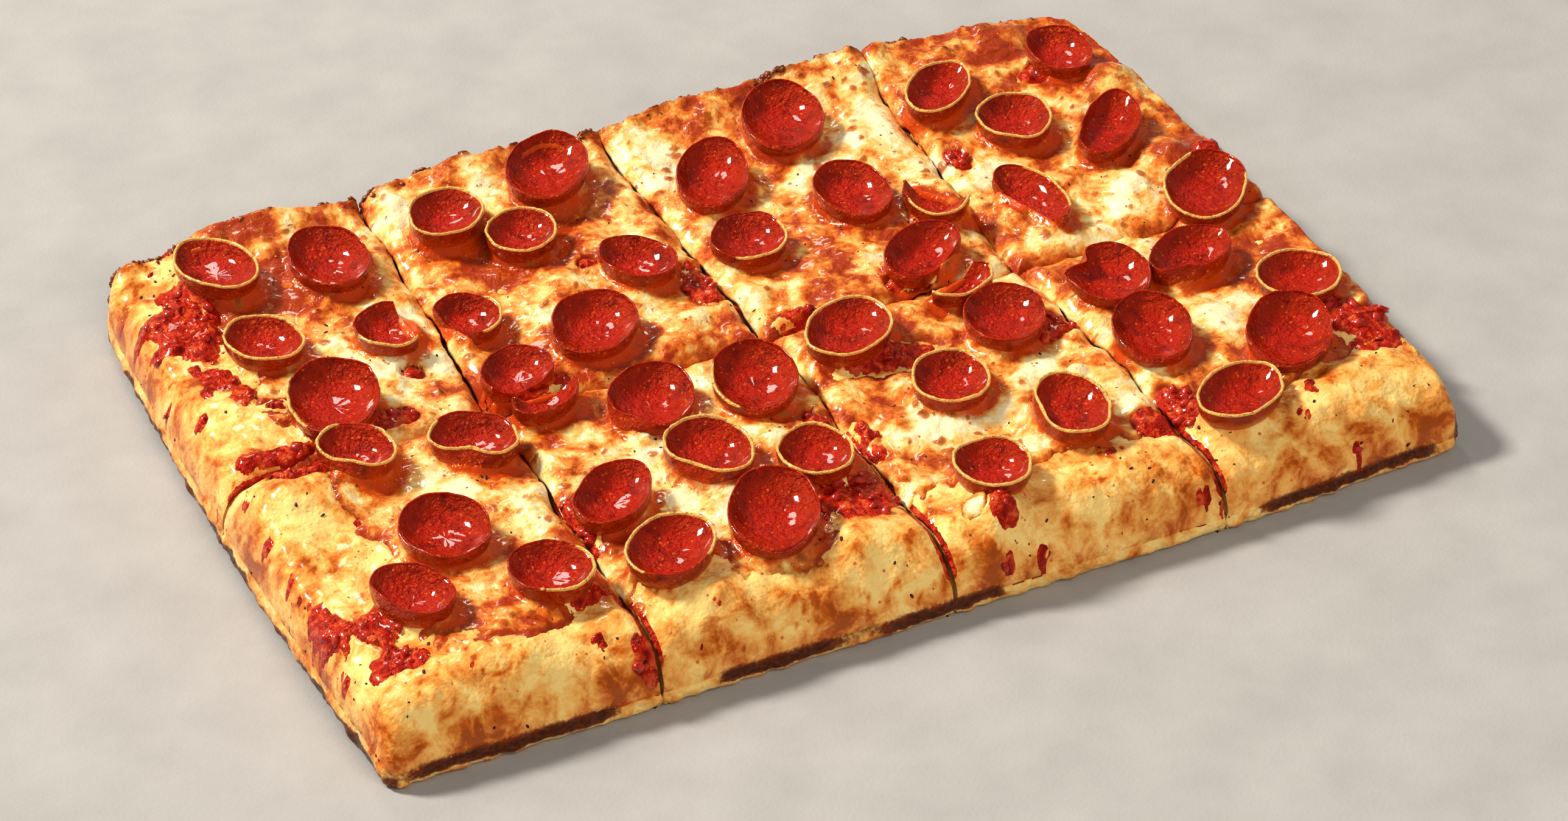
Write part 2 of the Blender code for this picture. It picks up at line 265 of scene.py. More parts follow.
def grid_faces(rows: int, columns: int) -> Array:
    """Four-cornered faces between the points of a grid, facing up when rows run along +Y.

    Args:
        rows: How many rows of points.
        columns: How many points in a row.

    Returns:
        One row of four point numbers for each face.
    """
    index = np.arange(rows * columns).reshape(rows, columns)
    corners = (index[:-1, :-1], index[:-1, 1:], index[1:, 1:], index[1:, :-1])
    return np.stack([c.ravel() for c in corners], axis=1)


def close_diagonals(keep: Array) -> Array:
    """Fills cells so that no two kept cells touch only at a corner.

    Args:
        keep: True for each kept cell.

    Returns:
        The same with a few more cells kept.
    """
    keep = keep.copy()
    for _ in range(DIAGONAL_ROUNDS):
        a, b, c, d = keep[:-1, :-1], keep[:-1, 1:], keep[1:, :-1], keep[1:, 1:]
        pinched = (a & d & ~b & ~c) | (b & c & ~a & ~d)
        if not pinched.any():
            break
        for part in (a, b, c, d):
            part |= pinched
    return keep


def add_layer(
    skin: Skin, x: Array, y: Array, top: Array, bottom: Array, keep: Array, **values: Array
) -> None:
    """Adds a closed layer of uneven thickness over the kept cells of a grid.

    Args:
        skin: The mesh to add to.
        x: X of each grid point.
        y: Y of each grid point.
        top: Height of the upper side.
        bottom: Height of the lower side.
        keep: True for each cell of the grid that has the layer.
        values: Numbers for each grid point, by name.
    """
    rows, columns = x.shape
    keep = close_diagonals(keep)
    total = rows * columns
    index = np.arange(total).reshape(rows, columns)
    upper = grid_faces(rows, columns)[keep.ravel()]
    lower = upper[:, ::-1] + total
    padded = np.zeros((rows + 1, columns + 1), bool)
    padded[1:-1, 1:-1] = keep
    sides = []
    for start, end, here, there in (
        (index[:-1, :], index[1:, :], padded[1:-1, :-1], padded[1:-1, 1:]),
        (index[:, 1:], index[:, :-1], padded[:-1, 1:-1], padded[1:, 1:-1]),
    ):
        for begin, finish, edge in ((start, end, here & ~there), (end, start, there & ~here)):
            a, b = begin[edge], finish[edge]
            sides.append(np.stack([b, a, a + total, b + total], axis=1))
    faces = np.concatenate([upper, lower, *sides])
    used, renumbered = np.unique(faces, return_inverse=True)
    points = np.concatenate(
        [np.stack([x.ravel(), y.ravel(), z.ravel()], axis=1) for z in (top, bottom)]
    )[used]
    picked = {name: np.tile(np.ravel(numbers), 2)[used] for name, numbers in values.items()}
    skin.add(points, [renumbered.reshape(faces.shape)], **picked)


# ---------------------------------------------------------------- the pizza's form


class Puff(NamedTuple):
    """A place where the dough has risen higher, as a dome on the top."""

    x: float
    y: float
    radius: float
    height: float


@dataclass(frozen=True)
class PizzaForm:
    """Outline, cuts and heights of the whole, as the solids have them, about its plain rectangle."""

    length: float = 400.0
    depth: float = 278.0
    thickness: float = 26.0
    lip: float = 6.0
    columns: int = 4
    cut_offsets: tuple[float, ...] = (-6.0, -2.0, -2.0)
    long_cut: float = -1.0
    cut_gap: float = 1.6
    cut_edge_width: float = 6.0
    cut_edge_drop: float = 4.5
    back_rim_rise: float = 4.0
    back_rim_width: float = 26.0
    back_bulge: float = 7.0
    back_bulge_x: float = 100.0
    back_bulge_reach: float = 180.0
    left_bulge: float = 4.5
    right_bulge: float = 3.0
    draw_in: float = 4.0
    draw_in_start: float = 110.0
    crown_power: float = 2.3
    crown_rise: float = 0.55
    seat_cover: float = 2.3
    climb_middle: float = -5.0
    climb_reach: float = 115.0
    climb_fade: float = 12.0
    slope = {"left": 11.0, "right": 4.0, "front": 24.0, "back": 4.0}
    wall = {"left": 9.0, "right": 17.0, "front": 6.0, "back": 21.0}
    corner_radius = {"a1": 12.0, "a4": 28.0, "b1": 4.0, "b4": 4.0}
    cut_lean = {"a": (5.5, -2.0, 9.0), "b": (0.0, 2.0, 5.0)}
    waves = ((1.1, 31.0, 27.0, 0.7), (0.7, 17.0, 23.0, 0.0))
    puffs = (
        Puff(-149, 113, 46, 4),
        Puff(-143, 137, 30, 4),
        Puff(-200, 140, 42, -9),
        Puff(-186, 35, 24, 3),
        Puff(-56, 133, 46, 5.5),
        Puff(-60, 57, 16, 2.5),
        Puff(48, 123, 46, 2),
        Puff(100, 142, 44, 5),
        Puff(148, 121, 40, 2.5),
        Puff(185, 91, 18, 4),
        Puff(184, 33, 22, 4),
        Puff(-184, -21, 22, 3.5),
        Puff(-152, -111, 30, 2.5),
        Puff(-84, -123, 18, 2.5),
        Puff(22, -126, 16, 4.5),
        Puff(-22, -117, 20, 2),
        Puff(158, -117, 30, 2.5),
    )
    corner_puffs = (Puff(-200, 140, 24, 6.0),)

    @property
    def lines(self) -> list[float]:
        """The X of the two ends and of the cross cuts between them.

        Returns:
            The five places, from the left to the right.
        """
        quarter = self.length / self.columns
        inner = [-self.length / 2 + quarter * (i + 1) + offset for i, offset in enumerate(self.cut_offsets)]
        return [-self.length / 2, *inner, self.length / 2]

    @cached_property
    def shift(self) -> tuple[float, float]:
        """How far the solids lie from the plain rectangle's place, from the boxes of the slices.

        Returns:
            The distance along X and along Y.
        """
        left = min(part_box(f"slice_{row}1")[0][0] for row in "ab")
        front = min(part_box(f"slice_b{column + 1}")[0][1] for column in range(self.columns))
        return left / MM + self.length / 2 + self.left_bulge, front / MM + self.depth / 2

    def span(self, row: str, column: int) -> tuple[float, float, float, float]:
        """The left, right, front and back of a slice on the plain rectangle.

        Args:
            row: The slice's row, "a" at the back or "b" at the front.
            column: The slice's column, from 1.

        Returns:
            The four edges, in millimetres from the middle of the rectangle.
        """
        gap = self.cut_gap / 2
        left = self.lines[column - 1] + (gap if column > 1 else 0)
        right = self.lines[column] - (gap if column < self.columns else 0)
        if row == "a":
            return left, right, self.long_cut + gap, self.depth / 2
        return left, right, -self.depth / 2, self.long_cut - gap

    def place(self, s: Array, t: Array, row: str, column: int) -> tuple[Array, Array]:
        """The X and Y of points of the plain rectangle on the real, slightly uneven outline.

        Args:
            s: Places on the plain rectangle, along X.
            t: Places on the plain rectangle, along Y.
            row: The slice's row, "a" at the back or "b" at the front.
            column: The slice's column, from 1.

        Returns:
            X and Y of each point.
        """
        x, y = self.round_corner(s, t, row, column)
        x = x + self.lean(s, t, row) + self.waver(s, t)
        bulge = self.back_bulge * (1 - smooth(np.abs(x - self.back_bulge_x) / self.back_bulge_reach))
        y = y + bulge * smooth(t / (self.depth / 2))
        corner = smooth((x - self.draw_in_start) / (self.length / 2 - self.draw_in_start))
        y = y + self.draw_in * corner * smooth(-t / (self.depth / 2))
        bow = np.cos(np.pi * t / self.depth)
        x = x - self.left_bulge * bow * smooth(-4 * s / self.length - 1)
        x = x + self.right_bulge * bow * smooth(4 * s / self.length - 1)
        return x, y

    def round_corner(self, s: Array, t: Array, row: str, column: int) -> tuple[Array, Array]:
        """Moves points of the rectangle so that the slice's outer corner becomes an arc.

        Args:
            s: Places on the plain rectangle, along X.
            t: Places on the plain rectangle, along Y.
            row: The slice's row, "a" at the back or "b" at the front.
            column: The slice's column, from 1.

        Returns:
            The moved places, along X and along Y.
        """
        radius = self.corner_radius.get(f"{row}{column}")
        if radius is None:
            return s, t
        side, end = (-1 if column == 1 else 1), (1 if row == "a" else -1)
        p = np.maximum((s * side - (self.length / 2 - radius)) / radius, 0)
        q = np.maximum((t * end - (self.depth / 2 - radius)) / radius, 0)
        inside = (p > 0) & (q > 0)
        p2, q2 = p * np.sqrt(1 - q * q / 2), q * np.sqrt(1 - p * p / 2)
        x = np.where(inside, side * (self.length / 2 - radius + p2 * radius), s)
        y = np.where(inside, end * (self.depth / 2 - radius + q2 * radius), t)
        return x, y

    def lean(self, s: Array, t: Array, row: str) -> Array:
        """How far points move along X because the cross cuts aren't square to the long cut."""
        swing = np.interp(s, self.lines, (0.0, *self.cut_lean[row], 0.0))
        return swing * np.abs(t - self.long_cut) / (self.depth / 2)

    def waver(self, s: Array, t: Array) -> Array:
        """How far the knife strayed to the side along each cross cut.

        Args:
            s: Places on the plain rectangle, along X.
            t: Places on the plain rectangle, along Y.

        Returns:
            The distance along X for each place.
        """
        drift = np.zeros_like(s)
        for number, line in enumerate(self.lines[1:-1]):
            near = np.exp(-(((s - line) / 14.0) ** 2))
            drift = drift + near * swell(t, np.full_like(t, 7.0 * number), 21.0, 5) * 1.1
        return drift

    def crown(self, share: Array) -> Array:
        """Height of a rounded slope, from 0 at the edge to 1 at the crest."""
        return (1 - (1 - np.clip(share, 0, 1)) ** self.crown_power) ** self.crown_rise

    def dome(self, puff: Puff, x: Array, y: Array) -> Array:
        """How much a puff adds to the height."""
        reach = np.hypot(x - puff.x, y - puff.y) / puff.radius
        return puff.height * np.where(reach < 1, (1 - reach * reach) ** 2, 0.0)

    def open_top(self, x: Array, y: Array) -> Array:
        """Height of the top away from all edges.

        Args:
            x: Places on the real outline, along X.
            y: Places on the real outline, along Y.

        Returns:
            The height for each place.
        """
        height = np.full_like(x, self.thickness)
        (high, along, across, phase), (high_2, along_2, across_2, phase_2) = self.waves
        height = height + high * np.sin(x / along + phase) * np.cos(y / across)
        height = height + high_2 * np.sin(x / along_2 - y / across_2 + phase_2)
        for puff in self.puffs:
            height = height + self.dome(puff, x, y)
        return height

    def edge_fall(self, s: Array, t: Array) -> Array:
        """Share of the height that is left towards the outer edges.

        Args:
            s: Places on the plain rectangle, along X.
            t: Places on the plain rectangle, along Y.

        Returns:
            A share from 0 to 1 for each place.
        """
        inward = {
            "left": s + self.length / 2,
            "right": self.length / 2 - s,
            "front": t + self.depth / 2,
            "back": self.depth / 2 - t,
        }
        fall = np.ones_like(s)
        for side, distance in inward.items():
            wall = (self.wall[side] - self.lip) / (self.thickness - self.lip)
            fall = fall * (wall + (1 - wall) * self.crown(distance / self.slope[side]))
        return fall

    def climbed(self, x: Array) -> Array:
        """Where along the back the crust climbed the pan's wall, from 0 to 1."""
        return smooth((self.climb_reach - np.abs(x - self.climb_middle)) / self.climb_fade)

    def to_cut(self, s: Array, t: Array, column: int) -> Array:
        """Distance to the nearest cut beside a slice.

        Args:
            s: Places on the plain rectangle, along X.
            t: Places on the plain rectangle, along Y.
            column: The slice's column, from 1.

        Returns:
            The distance for each place.
        """
        distance = np.abs(t - self.long_cut)
        if column > 1:
            distance = np.minimum(distance, np.abs(s - self.lines[column - 1]))
        if column < self.columns:
            distance = np.minimum(distance, np.abs(s - self.lines[column]))
        return distance


# ---------------------------------------------------------------- finishes


class Wiring:
    """A node tree that is put together node by node."""

    def __init__(self, tree: bpy.types.NodeTree) -> None:
        """Keeps the tree."""
        self.tree = tree

    def node(self, kind: str, inputs: Inputs | None = None, **options: object) -> bpy.types.Node:
        """Makes a node.

        Args:
            kind: The node's type.
            inputs: A socket or a plain value for each input, by the input's name or number.
            options: The node's settings, by name.

        Returns:
            The node.
        """
        node = self.tree.nodes.new(kind)
        for title, value in options.items():
            setattr(node, title, value)
        for place, source in (inputs or {}).items():
            if isinstance(source, Socket):
                self.tree.links.new(source, node.inputs[place])
            else:
                node.inputs[place].default_value = source
        return node

    def sum(self, kind: str, first: object, second: object) -> Socket:
        """The result of one sum on two numbers, such as ADD or MULTIPLY."""
        return self.node("ShaderNodeMath", {0: first, 1: second}, operation=kind).outputs[0]


class Recipe(Wiring):
    """A Principled material that is put together node by node. Sizes of patterns are in millimetres."""

    def __init__(self, name: str) -> None:
        """Makes the empty material and its object coordinates.

        Args:
            name: The material's name.
        """
        self.material = bpy.data.materials.new(name)
        self.material.use_nodes = True
        super().__init__(self.material.node_tree)
        self.shader = self.tree.nodes["Principled BSDF"]
        self.where = self.node("ShaderNodeTexCoord").outputs["Object"]

    def plain(self, **values: object) -> None:
        """Sets values of the shader that are the same all over, by the socket's name with _ for spaces."""
        for title, value in values.items():
            self.shader.inputs[title.replace("_", " ")].default_value = value

    def feed(self, title: str, source: Socket) -> None:
        """Feeds one of the shader's sockets."""
        self.tree.links.new(source, self.shader.inputs[title])

    def value(self, title: str) -> Socket:
        """A number that the mesh has for each of its points."""
        return self.node("ShaderNodeAttribute", attribute_name=title).outputs["Fac"]

    def noise(self, size: float, detail: float = 3.0, twist: float = 0.0, grit: float = 0.55) -> Socket:
        """Cloudy noise from 0 to 1.

        Args:
            size: Width of its widest features.
            detail: How many finer octaves it has.
            twist: How much it is distorted.
            grit: How strong the finer octaves are.

        Returns:
            The noise.
        """
        taken = {"Vector": self.where, "Scale": 1.0 / (size * MM), "Detail": detail, "Roughness": grit}
        return self.node("ShaderNodeTexNoise", {**taken, "Distortion": twist}).outputs["Fac"]

    def cells(self, size: float) -> Socket:
        """Distance to the nearest of many scattered points, in cell widths."""
        taken = {"Vector": self.where, "Scale": 1.0 / (size * MM)}
        return self.node("ShaderNodeTexVoronoi", taken).outputs["Distance"]

    def vary(self, base: object, cloud: object, middle: float, amount: float) -> Socket:
        """A number with the swing of a noise about its middle added to it."""
        swing = self.sum("MULTIPLY", self.sum("SUBTRACT", cloud, middle), amount)
        return self.sum("ADD", base, swing)

    def step(self, source: object, low: float, high: float) -> Socket:
        """A smooth rise from 0 at low to 1 at high."""
        taken = {"Value": source, "From Min": low, "From Max": high}
        return self.node("ShaderNodeMapRange", taken, interpolation_type="SMOOTHSTEP").outputs["Result"]

    def ramp(self, source: object, *stops: tuple[float, tuple[float, ...]]) -> Socket:
        """Colours along a number.

        Args:
            source: The number.
            stops: Pairs of a place from 0 to 1 and its colour.

        Returns:
            The colour.
        """
        node = self.node("ShaderNodeValToRGB", {"Fac": source})
        elements = node.color_ramp.elements
        while len(elements) < len(stops):
            elements.new(0.5)
        for element, (at, colour) in zip(elements, stops):
            element.position, element.color = at, colour
        return node.outputs["Color"]

    def mix(self, share: object, first: object, second: object) -> Socket:
        """The first colour, turning into the second as the share grows."""
        return self.node("ShaderNodeMix", {0: share, 6: first, 7: second}, data_type="RGBA").outputs[2]

    def bump(self, *reliefs: tuple[object, float]) -> None:
        """Fine relief.

        Args:
            reliefs: Pairs of a height from 0 to 1 and its size in millimetres.
        """
        below = {}
        for height, size in reliefs:
            taken = {"Strength": 1.0, "Distance": size * MM, "Height": height, **below}
            below = {"Normal": self.node("ShaderNodeBump", taken).outputs["Normal"]}
        self.feed("Normal", below["Normal"])

    def depth(self, share: float, radius: tuple[float, float, float], reach: float) -> None:
        """How much light goes into the surface, how far each colour goes, and the reach in millimetres."""
        self.plain(Subsurface_Weight=share, Subsurface_Radius=radius, Subsurface_Scale=reach * MM)

    def wet(self, coat: float, haze: float, level: float, tint: tuple[float, float, float]) -> None:
        """A wet coat and how hazy it is, then the level and the colour of the reflections under it."""
        self.plain(Coat_Weight=coat, Coat_Roughness=haze)
        self.plain(Specular_IOR_Level=level, Specular_Tint=linear(*tint))


@dataclass(frozen=True)
class MeltedCheese:
    """Melted cheese: ivory to yellow, stained orange by oil, with the same orange as painted warm shade
    where the pepperoni's shadows fall, and toasted brown blisters.
    """

    ivory: Colour = linear(0.97, 0.90, 0.74)
    yellow: Colour = linear(0.95, 0.77, 0.46)
    orange: Colour = linear(0.86, 0.50, 0.18)
    rust: Colour = linear(0.66, 0.24, 0.08)
    brown: Colour = linear(0.70, 0.37, 0.10)
    dark: Colour = linear(0.42, 0.16, 0.04)
    # The oil's orange, also laid as painted warm shade where the pepperoni's shadows fall.
    oil_and_shade_orange: Colour = linear(0.82, 0.30, 0.03)
    stain: float = 0.85  # how strongly the oil, its painted warm shade and the blisters colour the cheese
    dry_roughness: float = 0.40
    oil_polish: float = 0.22

    def make(self) -> bpy.types.Material:
        """Builds the material, which reads warm, toast and oil from the mesh; the oil also holds painted
        warm shade beside the pepperoni.

        Returns:
            The material.
        """
        r = Recipe("melted_cheese")
        warm, toast, oil = r.value("warm"), r.value("toast"), r.value("oil")
        cloud, fine = r.noise(12.0, 6.0, 0.3, 0.6), r.noise(2.6, 3.0)
        tone = r.vary(r.vary(warm, cloud, 0.46, 2.7), fine, 0.5, 0.45)
        body = r.ramp(tone, (0.18, self.ivory), (0.46, self.yellow), (0.74, self.orange), (1.0, self.rust))
        # Oil stains, and painted warm shade on the pepperoni's shadow side, turn the cheese orange.
        oil_and_shade, singe = r.vary(oil, cloud, 0.5, 1.6), r.vary(toast, fine, 0.5, 0.6)
        body = r.mix(r.sum("MULTIPLY", r.step(oil_and_shade, 0.45, 0.95), self.stain), body, self.oil_and_shade_orange)
        body = r.mix(r.sum("MULTIPLY", r.step(singe, 0.25, 0.85), self.stain), body, self.brown)
        r.feed("Base Color", r.mix(r.step(singe, 0.95, 1.5), body, self.dark))
        r.feed("Roughness", r.sum("SUBTRACT", self.dry_roughness, r.sum("MULTIPLY", oil, self.oil_polish)))
        r.bump((r.noise(5.0, 3.0, 0.5), 1.3), (r.noise(1.3, 2.0), 0.22))
        r.depth(0.45, (1.0, 0.45, 0.15), 5.0)
        r.wet(0.5, 0.08, 0.4, (1.0, 0.85, 0.65))
        return r.material


@dataclass(frozen=True)
class CrushedTomato:
    """Wet crushed tomato with lighter flesh and darker, cooked edges."""

    deep: Colour = linear(0.48, 0.05, 0.02)
    red: Colour = linear(0.72, 0.13, 0.05)
    flesh: Colour = linear(0.88, 0.44, 0.22)
    most_roughness: float = 0.42

    def make(self) -> bpy.types.Material:
        """Builds the material.

        Returns:
            The material.
        """
        r = Recipe("crushed_tomato")
        stops = (0.32, self.deep), (0.50, self.red), (0.72, self.flesh)
        r.feed("Base Color", r.ramp(r.noise(4.0, 4.0, 0.8), *stops))
        r.feed("Roughness", r.sum("MULTIPLY", r.noise(2.0, 2.0), self.most_roughness))
        r.bump((r.noise(2.6, 3.0), 2.0), (r.noise(0.9, 2.0), 0.5))
        r.depth(0.12, (1.0, 0.2, 0.1), 1.5)
        r.wet(0.35, 0.06, 0.3, (1.0, 0.65, 0.45))
        return r.material


@dataclass(frozen=True)
class BakedCrust:
    """Pan-baked dough: cream, golden and brown, fried dark along the foot."""

    cream: Colour = linear(0.97, 0.84, 0.54)
    golden: Colour = linear(0.93, 0.69, 0.36)
    brown: Colour = linear(0.78, 0.40, 0.08)
    toasted: Colour = linear(0.66, 0.32, 0.07)
    fried: Colour = linear(0.46, 0.19, 0.05)
    burnt: Colour = linear(0.24, 0.09, 0.03)
    soaked: Colour = linear(0.56, 0.17, 0.06)
    dry_roughness: float = 0.55
    oil_polish: float = 0.32

    def make(self) -> bpy.types.Material:
        """Builds the material, which reads toast, fried, seep and oil from the mesh.

        Returns:
            The material.
        """
        r = Recipe("baked_crust")
        cloud, fine = r.noise(10.0, 5.0, 0.6, 0.6), r.noise(1.6, 4.0, 0.0, 0.65)
        tone = r.vary(r.vary(r.value("toast"), cloud, 0.47, 2.4), fine, 0.5, 0.5)
        body = r.ramp(tone, (0.1, self.cream), (0.45, self.golden), (0.85, self.brown), (1.0, self.toasted))
        dark = r.vary(r.value("fried"), fine, 0.5, 0.7)
        body = r.mix(r.step(dark, 0.25, 0.65), body, self.fried)
        body = r.mix(r.step(dark, 0.62, 0.98), body, self.burnt)
        r.feed("Base Color", r.mix(r.value("seep"), body, self.soaked))
        polish = r.sum("MULTIPLY", r.value("oil"), self.oil_polish)
        r.feed("Roughness", r.sum("SUBTRACT", self.dry_roughness, polish))
        pores = r.step(r.cells(2.4), 0.10, 0.42)
        r.bump((r.noise(6.5, 3.0), 1.4), (pores, 0.14), (fine, 0.16))
        r.depth(0.10, (1.0, 0.5, 0.2), 1.5)
        r.wet(0.5, 0.10, 0.4, (1.0, 0.8, 0.55))
        return r.material


@dataclass(frozen=True)
class CuredSausage:
    """Curled pepperoni: deep red and wet inside, brick red outside, marbled with orange fat."""

    inside: Colour = linear(0.68, 0.16, 0.02)
    hollow: Colour = linear(0.71, 0.13, 0.04)
    outside: Colour = linear(0.68, 0.20, 0.03)
    foot: Colour = linear(0.88, 0.40, 0.06)
    fat: Colour = linear(0.90, 0.46, 0.10)
    lean: Colour = linear(0.45, 0.05, 0.01)
    gold: Colour = linear(0.93, 0.76, 0.44)
    singed: Colour = linear(0.50, 0.27, 0.10)
    lean_share: float = 0.7
    fat_share: float = 0.65
    wet_roughness: float = 0.26
    char_roughness: float = 0.3  # what the char adds

    def make(self) -> bpy.types.Material:
        """Builds the material, which reads inner, level and char from the mesh.

        Returns:
            The material.
        """
        r = Recipe("cured_sausage")
        inner, level, char = r.value("inner"), r.value("level"), r.value("char")
        # Inside, a slightly darker red at the floor of the hollow turns to a more orange red up the wall:
        # partly the meat's own tone, partly painted shade deep in the hollow and painted glow where light
        # shines through the thin upper wall.
        within = r.mix(r.step(level, 0.0, 0.6), self.hollow, self.inside)
        without = r.mix(r.step(level, 0.05, 0.7), self.foot, self.outside)
        body = r.mix(inner, without, within)
        streaks = r.step(r.noise(7.0, 3.0, 0.5), 0.46, 0.74)
        body = r.mix(r.sum("MULTIPLY", streaks, self.lean_share), body, self.lean)
        marble = r.step(r.sum("ADD", r.cells(2.6), r.sum("MULTIPLY", r.noise(0.9, 2.0), 0.35)), 0.42, 0.26)
        body = r.mix(r.sum("MULTIPLY", marble, self.fat_share), body, self.fat)
        crisp = r.mix(r.step(r.noise(0.7, 2.0), 0.62, 0.78), self.gold, self.singed)
        r.feed("Base Color", r.mix(r.step(char, 0.25, 0.55), body, crisp))
        r.feed("Roughness", r.sum("ADD", self.wet_roughness, r.sum("MULTIPLY", char, self.char_roughness)))
        r.bump((r.noise(3.0, 4.0, 0.3), 2.4), (r.noise(1.2, 2.0), 1.1))
        r.depth(0.28, (1.0, 0.25, 0.05), 2.0)
        r.wet(0.55, 0.05, 0.3, (1.0, 0.62, 0.40))
        return r.material


@dataclass(frozen=True)
class Morsel:
    """A small scattered thing, from one colour to another."""

    name: str
    first: Colour
    second: Colour
    roughness: float = 0.5
    coat: float = 0.2
    grain: float = 1.5

    def make(self) -> bpy.types.Material:
        """Builds the material.

        Returns:
            The material.
        """
        r = Recipe(self.name)
        r.feed("Base Color", r.ramp(r.noise(self.grain, 3.0), (0.3, self.first), (0.7, self.second)))
        r.bump((r.noise(self.grain / 2, 2.0), 0.15))
        r.plain(Roughness=self.roughness, Coat_Weight=self.coat, Coat_Roughness=0.1)
        return r.material


# ---------------------------------------------------------------- curled pepperoni


class Fold(NamedTuple):
    """A place where the rim is pushed in, or out where the share is negative."""

    direction: float
    share: float
    width: float = 42.0


